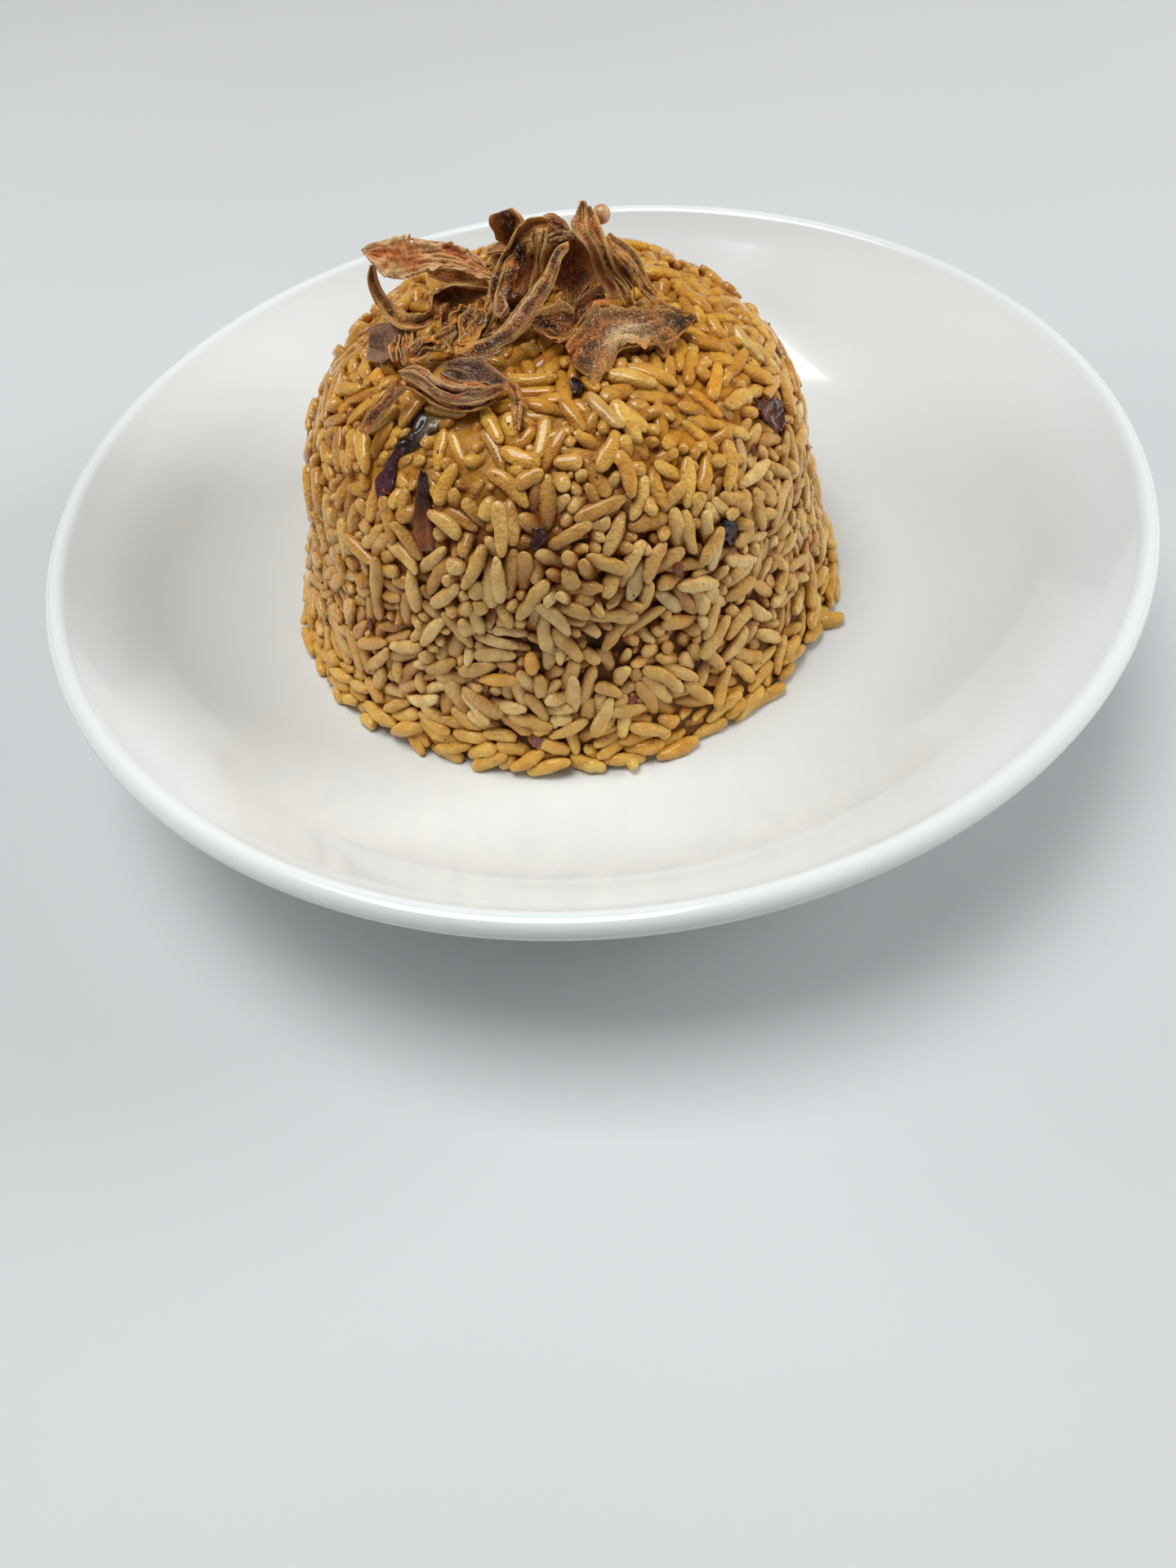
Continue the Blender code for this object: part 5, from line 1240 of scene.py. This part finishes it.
def crisp(name, strip, look, low=0.0, high=1.0):
    """A thin sheet with ribs, blisters, curled and ragged edges, laid along a strip."""
    grid, along, across = laid_grid(name, strip, low, high)
    seed = name_number(name) * 0.37 + low * 50
    travel = along * strip.length / MM
    width = strip.value(along, strip.width) / MM
    side = (across - low) / (high - low) * 2 - 1
    ragged = smooth_noise(travel * 0.7, np.sign(side) * 5, seed) * 0.16
    ragged += smooth_noise(travel * 2.1, side, seed + 3) * 0.1
    ragged = ragged * look["ragged"] * (high - low) * np.abs(side) ** 2
    points, normal = strip.point(along, 0.5 + (across - 0.5) * look["widen"] + ragged * np.sign(side))
    wander = smooth_noise(travel * 0.16, side * 0.8, seed + 9)
    ribs = np.sin(math.tau * (look["ribs"] * across + wander * 0.7)) * look["rib"] * (1 - side**2) ** 0.5
    blister = smooth_noise(travel * 0.42, across * width * 0.7, seed + 20) * look["blister"]
    blister += smooth_noise(travel * 1.3, across * width * 1.6, seed + 30) * look["blister"] * 0.6
    curl = np.abs(side) ** 3 * look["curl"] * (0.6 + smooth_noise(travel * 0.2, side, seed + 40))
    room = np.clip(width * (high - low) / 2.5, 0.3, 1)
    points += normal * ((ribs + blister + curl * np.sign(strip.bow.sum() or 1) * -1) * room)[:, None] * MM
    move_points(grid, points)
    # The ridge value is read by the fried finish as painted light and shade: lighter high, darker low.
    highest = look["rib"] + look["blister"] * 0.5 + 0.05
    keep_value(grid.data, "ridge", np.clip(0.5 + (ribs + blister) / highest * 0.5, 0, 1))
    stain = stains_at(along, across, look["stains"])
    grid.data.attributes.new("stain", "FLOAT_COLOR", "POINT").data.foreach_set("color", stain.ravel())
    solidify = grid.modifiers.new("thickness", "SOLIDIFY")
    solidify.thickness = look["thick"] * MM
    solidify.offset = 0
    smooth = grid.modifiers.new("smooth", "SUBSURF")
    smooth.levels = smooth.render_levels = 1
    apply_modifiers(grid)
    grid.data.shade_smooth()
    return grid


# %% Strands and rolled hems
STRAND_STATIONS = 10
HEM_INSET = 0.03
HEM_DRIFT = 0.25 * MM
THREAD_WIDTH = 0.42 * MM
THREAD_DRIFT = 2.2 * MM
# The straw laid over every hem and thread is partly their paler fried colour and partly a painted highlight
# along them.
HEM_LOOK = {**PLAIN_LOOK, "ribs": 1, "rib": 0.05, "blister": 0.2, "curl": 0, "thick": 0.3, "widen": 1,
            "stains": [(0.5, 0.5, 2, 2, STRAW, 0.5)]}


def strand_of(strip, across, wide, drift, seed, start=0.0, end=1.0):
    """A narrow strip along a place across another one. It drifts off it and back, and twists as it goes."""
    along = np.linspace(start, end, STRAND_STATIONS)
    rows = np.arange(STRAND_STATIONS)
    wobble = smooth_noise(rows * 0.35, rows * 0.0, seed) * drift
    rise = smooth_noise(rows * 0.35, rows * 0.0, seed + 60) * drift
    left, normal = strip.point(along, np.zeros(STRAND_STATIONS))
    right, _ = strip.point(along, np.ones(STRAND_STATIONS))
    middle, _ = strip.point(along, np.full(STRAND_STATIONS, across))
    side = unit(right - left)
    middle = middle + side * wobble[:, None] + normal * rise[:, None]
    turn = smooth_noise(rows * 0.3, rows * 0.0, seed + 30)[:, None] * 1.2
    taper = (0.55 + 0.45 * np.sin(np.linspace(0.25, 2.9, STRAND_STATIONS)))[:, None]
    half = (side * np.cos(turn) + normal * np.sin(turn)) * wide / 2 * taper
    return Strip(0.12, np.concatenate([middle - half, middle + half], axis=1) / MM)


def crisp_strands(name, strip, look):
    """A shred that has split lengthwise into strands that cross each other, joined to one piece."""
    count = look["strands"]
    seed = name_number(name) * 0.53
    strand_look = {**look, "widen": 1, "ribs": 1, "rib": 0.1, "blister": 0.3}
    drift = min(strip.width.max() * 0.4, strip.length * 0.08)
    strands = []
    for index in range(count):
        across = 0.5 + ((index + 0.5) / count - 0.5) * look["widen"]
        wide = strip.width.max() * look["widen"] / count * (1.9 + 0.6 * math.sin(index * 5.1))
        start, end = 0.12 + 0.12 * math.sin(index * 3.3), 0.88 + 0.12 * math.sin(index * 4.7)
        strand = strand_of(strip, across, wide, drift, seed + index * 7.7, start, end)
        strands.append(crisp(f"{name}_{index}", strand, strand_look))
    return joined(name, strands)


def hemmed(name, strip, look):
    """A crisp sheet whose two edges have rolled up into thin hems, with its loose threads."""
    pieces = [crisp(name, strip, look)]
    for across in (0.5 - look["widen"] / 2 + HEM_INSET, 0.5 + look["widen"] / 2 - HEM_INSET):
        seed = name_number(name) * 0.71 + across * 40
        hem = strand_of(strip, across, look["hem"] * MM, HEM_DRIFT, seed)
        pieces.append(crisp(f"{name}_hem_{across:.1f}", hem, HEM_LOOK))
    for index in range(look["threads"]):
        seed = name_number(name) * 0.61 + index * 11.3
        thread = strand_of(strip, 0.5 + 0.5 * math.sin(index * 2.3), THREAD_WIDTH, THREAD_DRIFT, seed)
        pieces.append(crisp(f"{name}_thread_{index}", thread, HEM_LOOK))
    return joined(name, pieces)


def joined(name, pieces):
    select_only(*pieces)
    bpy.ops.object.join()
    return name_piece(name)


# %% [markdown]
# ## Fried onion
# The oil browns a shred from its thin parts inwards, and veins run along it as light and dark streaks. On
# top of that light and shade are painted: raised ribs and blisters lighter, their hollows darker, and the
# rim and hundreds of tiny flecks on the blisters in a pale colour as painted highlights. One function makes
# all six browns.

# %% Fried finishes
VEINS = (7.0, 2.2, 1.0)
CRACKS = (16.0, 3.0, 1.0)
PLAIN_ROUGHNESS, GREY_ROUGHNESS = 0.42, 0.34


def fried_finish(name, dark, middle, light, rim_highlight):
    """Fried skin. The UV map runs in centimetres along the shred, so veins and cracks are long and narrow."""
    onion = Finish(name, Subsurface_Weight=0.08, Subsurface_Scale=0.0006, Specular_IOR_Level=0.4,
                   Coat_Roughness=0.1)
    uv = onion.add("ShaderNodeTexCoord", output="UV")
    streaks = onion.cloud(onion.stretched(uv, VEINS), 1.0, 4.0, 0.65)
    place = onion.place()
    patches = onion.cloud(place, 3.2 * MM, 2.0)
    blisters = onion.cloud(place, 0.42 * MM, 3.0, 0.6)
    glint_flecks = onion.cloud(place, 0.24 * MM, 2.0)
    cracks = onion.cloud(onion.stretched(uv, CRACKS), 1.0, 3.0)
    edge = ((onion.part_of(uv, 0) - 0.5).maths("ABSOLUTE") * 2) ** 3
    # The ridge term paints raised ribs and blisters lighter and their hollows darker: painted light and
    # shade.
    shade = streaks * 0.3 + patches * 0.8 + onion.attribute("ridge") * 0.2 - 0.15
    colour = onion.ramp(shade, [(0.4, dark), (0.51, middle), (0.62, light)])
    stained = onion.attribute("stain", "Alpha") * (streaks * 1.1 + 0.45)
    colour = onion.blend(stained, colour, onion.attribute("stain", "Color"))
    # Darker where the blister relief is low: painted shade in its pits.
    colour = onion.blend(blisters.between(0.46, 0.36) * 0.6, colour, dark)
    colour = onion.blend(cracks.between(0.44, 0.36) * 0.4, colour, dark)
    # Pale flecks on the crowns of the blisters: painted highlights.
    colour = onion.blend(glint_flecks.between(0.54, 0.62) * blisters.between(0.42, 0.56) * 0.85, colour, rim_highlight)
    # The edges across the strip take the pale rim colour: a painted highlight along them.
    colour = onion.blend(edge * 0.75, colour, rim_highlight)
    least = GREY_ROUGHNESS if name == "fried_grey" else PLAIN_ROUGHNESS
    rough = least + (blisters - 0.5) * 0.5
    relief = onion.bump(blisters * 1.3 + streaks * 0.8, 0.7 * MM, 1.0)
    oil = blisters.between(0.46, 0.6) * 0.5 + 0.05
    return onion.wear(Base_Color=colour, Roughness=rough, Coat_Weight=oil, Normal=relief)


# Each brown: its darkest, middle and lightest colour, and the pale colour of its painted highlights.
BROWNS = {
    "tan": [(74, 24, 8), (200, 104, 42), (252, 168, 84), (255, 202, 124)],
    "gold": [(96, 34, 6), (210, 114, 34), (252, 172, 70), (255, 206, 116)],
    "red": [(232, 112, 54), (255, 182, 112), (255, 210, 146), (255, 222, 166)],
    "mauve": [(72, 24, 14), (186, 94, 54), (248, 162, 98), (255, 204, 138)],
    "brown": [(44, 13, 5), (146, 62, 22), (238, 140, 62), (255, 188, 108)],
    "grey": [(92, 56, 44), (140, 100, 76), (176, 136, 108), (198, 156, 120)],
}
FRIED = {f"onion_{name}": fried_finish(f"fried_{name}", *(paint(*colour) for colour in colours))
         for name, colours in BROWNS.items()}

# %% Making all the crisp shreds
def finish_shred(shred, node, slot):
    shred.data.materials.append(FRIED[slot])
    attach(shred, "root")
    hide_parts(node)


for name, slot, bow, stations in SHREDS:
    look = {**PLAIN_LOOK, **LOOKS.get(name, {})}
    make = crisp_strands if look["strands"] else hemmed
    finish_shred(make(f"crisp_{name}", strips[name], look), name, slot)
print("crisp shreds:", len(SHREDS))

# %% [markdown]
# ## Skin between the ribs
# Where two shreds hang together in the photo, a torn skin still joins them. Each skin runs from an edge of
# one strip to an edge of another, so it needs no points of its own, and it belongs to the shred that it is
# named after.

# %% Torn skins
# A skin: its shred and its brown, then for both strips the name, the place across it, and where along it
# the skin starts and ends. The last value is its bow in millimetres.
SKINS = [
    ("spike_side", "tan", ("spike_side", 1, 0.3, 0.86), ("strand_right", 1, 0.04, 0.6), 0.5),
    ("spike_top", "gold", ("spike_top", 1, 0.1, 0.9), ("spike_side", 0, 0.1, 0.9), 0.3),
    ("strand_back", "brown", ("strand_right", 0, 0.06, 0.8), ("strand_back", 1, 0.06, 0.95), 0.3),
    ("arch_left", "brown", ("arch_left", 1, 0.3, 0.72), ("strand_inner", 0, 0.1, 0.95), -0.8),
    ("strand_fork", "tan", ("strand_inner", 1, 0.05, 0.7), ("strand_fork", 0, 0.05, 0.95), 0.2),
    ("boat_back", "brown", ("boat_back", 1, 0.1, 0.95), ("boat_front", 0, 0.38, 0.98), -0.6),
    ("sheet_right", "brown", ("twist_centre", 1, 0.0, 1.0), ("sheet_right", 0, 0.12, 0.42), 0.4),
    ("tuft_centre", "gold", ("tuft_centre", 0, 0.15, 0.8), ("ribbon_left", 0, 0.95, 0.3), 0.3),
]
SKIN_LOOK = {**PLAIN_LOOK, "ribs": 5, "rib": 0.12, "widen": 1.0, "curl": 0, "thick": 0.25}
SKIN_STATIONS = 7


def skin_strip(first, second, bow):
    """A strip whose two edges follow a stretch of an edge of two other strips."""
    rails = []
    for name, across, start, end in (first, second):
        places = np.linspace(start, end, SKIN_STATIONS), np.full(SKIN_STATIONS, float(across))
        rails.append(strips[f"onion_{name}"].point(*places)[0] / MM)
    return Strip(bow, np.concatenate(rails, axis=1))


for index, (name, brown, first, second, bow) in enumerate(SKINS):
    skin = crisp(f"skin_{index}", skin_strip(first, second, bow), SKIN_LOOK)
    finish_shred(skin, f"onion_{name}", f"onion_{brown}")
print("skins:", len(SKINS))

# %% [markdown]
# ## Crumbs at the bottom of the heap
# Under the big shreds lie the crumbs that broke off them in the pan. Each is a short bent strip of four
# stations that starts at a random spot in an oval under the heap and wanders off; the nearer the oval's
# middle, the higher it lies.

# %% Crumbs
CRUMB_COUNT = 24
HEAP_CENTRE = (-8, 3)
HEAP_REACH = (15, 9)
HEAP_RISE = 4.5
HEAP_FOOT = 71.9
CRUMB_WIDTH = (0.9, 2.1)
CRUMB_STEP = (1.0, 2.1)
CRUMB_STATIONS = 4
CRUMB_LOOK = {**PLAIN_LOOK, "ribs": 1, "curl": 0.2, "blister": 0.35}


def crumb_strip(dice):
    """The strip of one crumb, from a random spot under the heap."""
    around, far = dice.uniform(0, math.tau), dice.random() ** 0.6
    spot = Vector((HEAP_CENTRE[0] + HEAP_REACH[0] * far * math.cos(around),
                   HEAP_CENTRE[1] + HEAP_REACH[1] * far * math.sin(around),
                   HEAP_FOOT + HEAP_RISE * (1 - far) * dice.random()))
    way = Vector((dice.gauss(0, 1), dice.gauss(0, 1), dice.gauss(0, 0.25))).normalized()
    wide = dice.uniform(*CRUMB_WIDTH)
    stations = []
    for _ in range(CRUMB_STATIONS):
        side = way.cross(Vector((dice.gauss(0, 0.5), dice.gauss(0, 0.5), 1))).normalized() * wide / 2
        stations.append((*(spot - side), *(spot + side)))
        spot = spot + way * dice.uniform(*CRUMB_STEP)
        way = (way + Vector((dice.gauss(0, 0.45), dice.gauss(0, 0.45), dice.gauss(0, 0.3)))).normalized()
    return Strip(0.15, stations)


crumb_dice = random.Random(5)
crumbs = {"onion_tan": [], "onion_brown": [], "onion_gold": []}
for index in range(CRUMB_COUNT):
    slot = list(crumbs)[index % len(crumbs)]
    crumbs[slot].append(crisp(f"scrap_{index}", crumb_strip(crumb_dice), CRUMB_LOOK))
for slot, pieces in crumbs.items():
    finish_shred(joined(f"scraps_{slot}", pieces), "rice", slot)
print("crumbs:", CRUMB_COUNT)

# %% [markdown]
# ## Soft onion in the rice
# A few pieces never reached the frying pan. They were stewed with the rice: limp, purple-black and wet, so
# the window shows in them as small white marks. They are wetter and thicker than the crisp ones, their
# edges bend down onto the rice, and they are pressed a little into it, so that grains lie over their edges.

# %% Soft pieces
SOFT_LOOK = {**PLAIN_LOOK, "ribs": 2, "rib": 0.12, "blister": 0.5, "curl": -0.6, "thick": 0.6, "widen": 1.1,
             "ragged": 2}


def stewed_finish():
    """Limp purple-black skin under a film of stock."""
    stewed = Finish("stewed_onion", Coat_Weight=0.8, Coat_Roughness=0.03, Specular_IOR_Level=0.25)
    place = stewed.place()
    patches = stewed.cloud(place, 4 * MM, 3.0)
    grit = stewed.cloud(place, 1.0 * MM, 3.0, 0.6)
    stops = [(0.35, paint(14, 6, 8)), (0.55, paint(36, 15, 16)), (0.75, paint(104, 50, 34))]
    colour = stewed.ramp(patches, stops)
    colour = stewed.blend(stewed.attribute("stain", "Alpha"), colour, stewed.attribute("stain", "Color"))
    rough = 0.1 + grit * 0.2
    return stewed.wear(Base_Color=colour, Roughness=rough, Normal=stewed.bump(grit, 0.5 * MM, 0.8))


stewed = stewed_finish()
SOFT_STAINS = {
    "soft_long": [
        (0.85, 0.5, 0.28, 0.8, paint(92, 46, 60), 0.8), (0.05, 0.9, 0.2, 0.3, paint(150, 130, 90), 0.7)],
    "soft_brown": [(0.85, 0.5, 0.34, 0.8, paint(150, 84, 46), 0.9)],
    "soft_foot": [(0.5, 0.5, 0.9, 0.9, paint(136, 62, 52), 0.9)],
    "soft_right": [(0.35, 0.5, 0.35, 0.8, paint(110, 56, 36), 0.8)],
    "soft_middle": [(0.5, 0.5, 0.9, 0.9, paint(64, 26, 30), 0.8)],
}
for name, slot, bow, stations in SOFT_PIECES:
    piece = crisp(f"stewed_{name}", strips[name], {**SOFT_LOOK, "stains": SOFT_STAINS.get(name, [])})
    move_points(piece, sunk(points_of(piece)))
    piece.data.materials.append(stewed)
    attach(piece, "root")
    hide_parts(name)
print("soft pieces:", len(SOFT_PIECES))

# %% [markdown]
# ## The bead on the tip
# One scrap of onion puffed up into a small amber ball and stayed caught at the very top. Its skin is
# mottled, and clear enough to let some light through.

# %% Bead
bead_low, bead_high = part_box("onion_bead")
bpy.ops.mesh.primitive_uv_sphere_add(
    segments=32, ring_count=20, radius=(bead_high.x - bead_low.x) / 2, location=(bead_low + bead_high) / 2
)
bead = name_piece("puffed_bead")
bead.data.shade_smooth()
puffed = Finish("puffed_onion", Transmission_Weight=0.35, Coat_Weight=0.4, Subsurface_Weight=0.3,
                Subsurface_Scale=0.001)
skin = puffed.cloud(puffed.place(), 0.9 * MM, 3.0)
skin_colour = puffed.ramp(skin, [(0.35, paint(206, 150, 96)), (0.65, paint(244, 204, 156))])
skin_relief = puffed.bump(skin, 0.4 * MM, 0.7)
skin_rough = 0.2 + skin * 0.25
bead.data.materials.append(puffed.wear(Base_Color=skin_colour, Roughness=skin_rough, Normal=skin_relief))
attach(bead, "root")
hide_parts("onion_bead")

# %% [markdown]
# ## Pepper and scraps
# Ground pepper sticks to the outside of the grains as fine dark specks. Scraps of stewed onion lie between
# them, dark red, with only an edge showing. Both are far finer than a grain, so each is one joined mesh of
# small copies.

# %% Specks and scraps
SPECK_COUNT = 210
SPECK_SIZE = (0.18, 0.5)
SPECK_REACH = 0.85
SCRAP_COUNT = 90
SCRAP_SIZE = (0.7, 1.6)
SCRAP_SHAPE = (2.0, 1.2, 0.4)
SCRAP_DEPTH = (0.5, 1.4)
OUTER_DEPTH = 1.9 * MM
FOOT_CLEARANCE = 3 * MM
FACE_CLEARANCE = 0.05 * MM


def small_lump(name, seed):
    """An uneven lump of size 1 to copy."""
    bpy.ops.mesh.primitive_ico_sphere_add(subdivisions=2, radius=0.5)
    lump = name_piece(name)
    for vert in lump.data.vertices:
        vert.co *= 1 + 0.55 * noise.noise(vert.co * 2.6 + Vector((seed, 0, 0)))
    return lump


def dark_finish(name, low, high, roughness):
    dark = Finish(name, Roughness=roughness, Coat_Weight=0.2)
    tone = dark.attribute("tone")
    grit = dark.cloud(dark.place(), 0.4 * MM, 3.0)
    colour = dark.ramp(tone, [(0.0, low), (1.0, high)])
    return dark.wear(Base_Color=colour, Normal=dark.bump(grit, 0.2 * MM, 0.8))


def strew(name, lump, spots, out, size, finish):
    """Lays copies of a lump flat on the face of the heap, each turned at random."""
    count = len(spots)
    along = unit(np.cross(out, draw.normal(size=(count, 3))) + draw.normal(0, 0.25, (count, 3)))
    turned = turned_frames(along, out, draw.normal(0, 0.3, count))
    piece = lay_copies(name, lump, spots, turned, size, {"tone": draw.random(count)})
    bpy.data.objects.remove(lump)
    piece.data.materials.append(finish)
    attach(piece, "root")
    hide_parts("rice")


grain_depth, grain_out = depth_and_way_out(middle)
outer = np.flatnonzero((grain_depth < OUTER_DEPTH) & (middle[:, 2] > RICE_BASE + FOOT_CLEARANCE))
peppered = draw.choice(outer, SPECK_COUNT)
reach = np.minimum(thick[peppered] * SPECK_REACH, grain_depth[peppered] - FACE_CLEARANCE)
slide = draw.uniform(-0.42, 0.42, (SPECK_COUNT, 1)) * length[peppered][:, None] * along[peppered]
speck_spots = middle[peppered] + slide + grain_out[peppered] * reach[:, None]
speck_size = draw.uniform(*SPECK_SIZE, (SPECK_COUNT, 1)) ** 1.2 * MM
speck_size = speck_size * draw.uniform(0.6, 1.5, (SPECK_COUNT, 3))
pepper_finish = dark_finish("pepper", paint(22, 14, 12), paint(74, 40, 24), 0.5)
strew("pepper_specks", small_lump("speck", 3.0), speck_spots, grain_out[peppered], speck_size, pepper_finish)

scrap_middle, _ = scatter_grains(SCRAP_COUNT)
scrap_depth, scrap_out = depth_and_way_out(scrap_middle)
scrap_spots = scrap_middle + scrap_out * (scrap_depth - draw.uniform(*SCRAP_DEPTH, SCRAP_COUNT) * MM)[:, None]
scrap_size = draw.uniform(*SCRAP_SIZE, (SCRAP_COUNT, 1)) * MM * np.array([SCRAP_SHAPE])
scrap_finish = dark_finish("onion_scraps", paint(96, 34, 22), paint(150, 78, 44), 0.35)
strew("onion_scraps", small_lump("scrap", 8.0), scrap_spots, scrap_out, scrap_size, scrap_finish)
print("specks:", SPECK_COUNT, "scraps:", SCRAP_COUNT)

# %% [markdown]
# ## Floor and light
# The floor is a plain pale sheet. The photo's light is one wide lamp overhead and a little to the left: the
# bowl's right wall mirrors its corner. The walls of the room light both sides of the rice, and the front is
# in soft shade, because whoever took the photo stood there. The sides are lit by two lamps that no gloss
# shows.

# %% Floor
FLOOR_SIZE = 4
FLOOR_DROP = 0.2 * MM
bpy.ops.mesh.primitive_plane_add(size=FLOOR_SIZE, location=(0, 0, -FLOOR_DROP))
floor = name_piece("floor")
floor_finish = Finish("pale_floor", Roughness=0.6, Specular_IOR_Level=0.3)
floor_cloud = floor_finish.cloud(floor_finish.place(), 0.3, 2.0)
floor_tone = floor_finish.ramp(floor_cloud, [(0.3, (0.60, 0.61, 0.62)), (0.7, (0.64, 0.65, 0.66))])
floor.data.materials.append(floor_finish.wear(Base_Color=floor_tone))


# %% Lights
DISH_MIDDLE = Vector((0, 0, 0.03))
LAMP_WHITE = (0.99, 1.0, 1.0)
ROOM_GREY = (0.85, 0.86, 0.88, 1)
ROOM_STRENGTH = 0.14


def soft_box(name, place, size, watts, in_gloss=True):
    """A square lamp that faces the dish. It can be kept out of reflections."""
    lamp = bpy.data.lights.new(name, "AREA")
    lamp.size = size
    lamp.energy = watts
    lamp.color = LAMP_WHITE
    holder = bpy.data.objects.new(name, lamp)
    holder.location = place
    holder.rotation_euler = (DISH_MIDDLE - Vector(place)).to_track_quat("-Z", "Y").to_euler()
    holder.visible_glossy = in_gloss
    bpy.context.scene.collection.objects.link(holder)


soft_box("overhead", (-0.2, 0.02, 1.12), 0.62, 9.3)
soft_box("left_wall", (-1.15, 0.4, 0.5), 0.7, 6, in_gloss=False)
soft_box("right_wall", (1.15, 0.1, 0.5), 0.7, 11, in_gloss=False)
world = bpy.data.worlds.new("room")
world.use_nodes = True
background = world.node_tree.nodes["Background"]
background.inputs["Color"].default_value = ROOM_GREY
background.inputs["Strength"].default_value = ROOM_STRENGTH
bpy.context.scene.world = world
bpy.context.scene.view_settings.view_transform = "Standard"
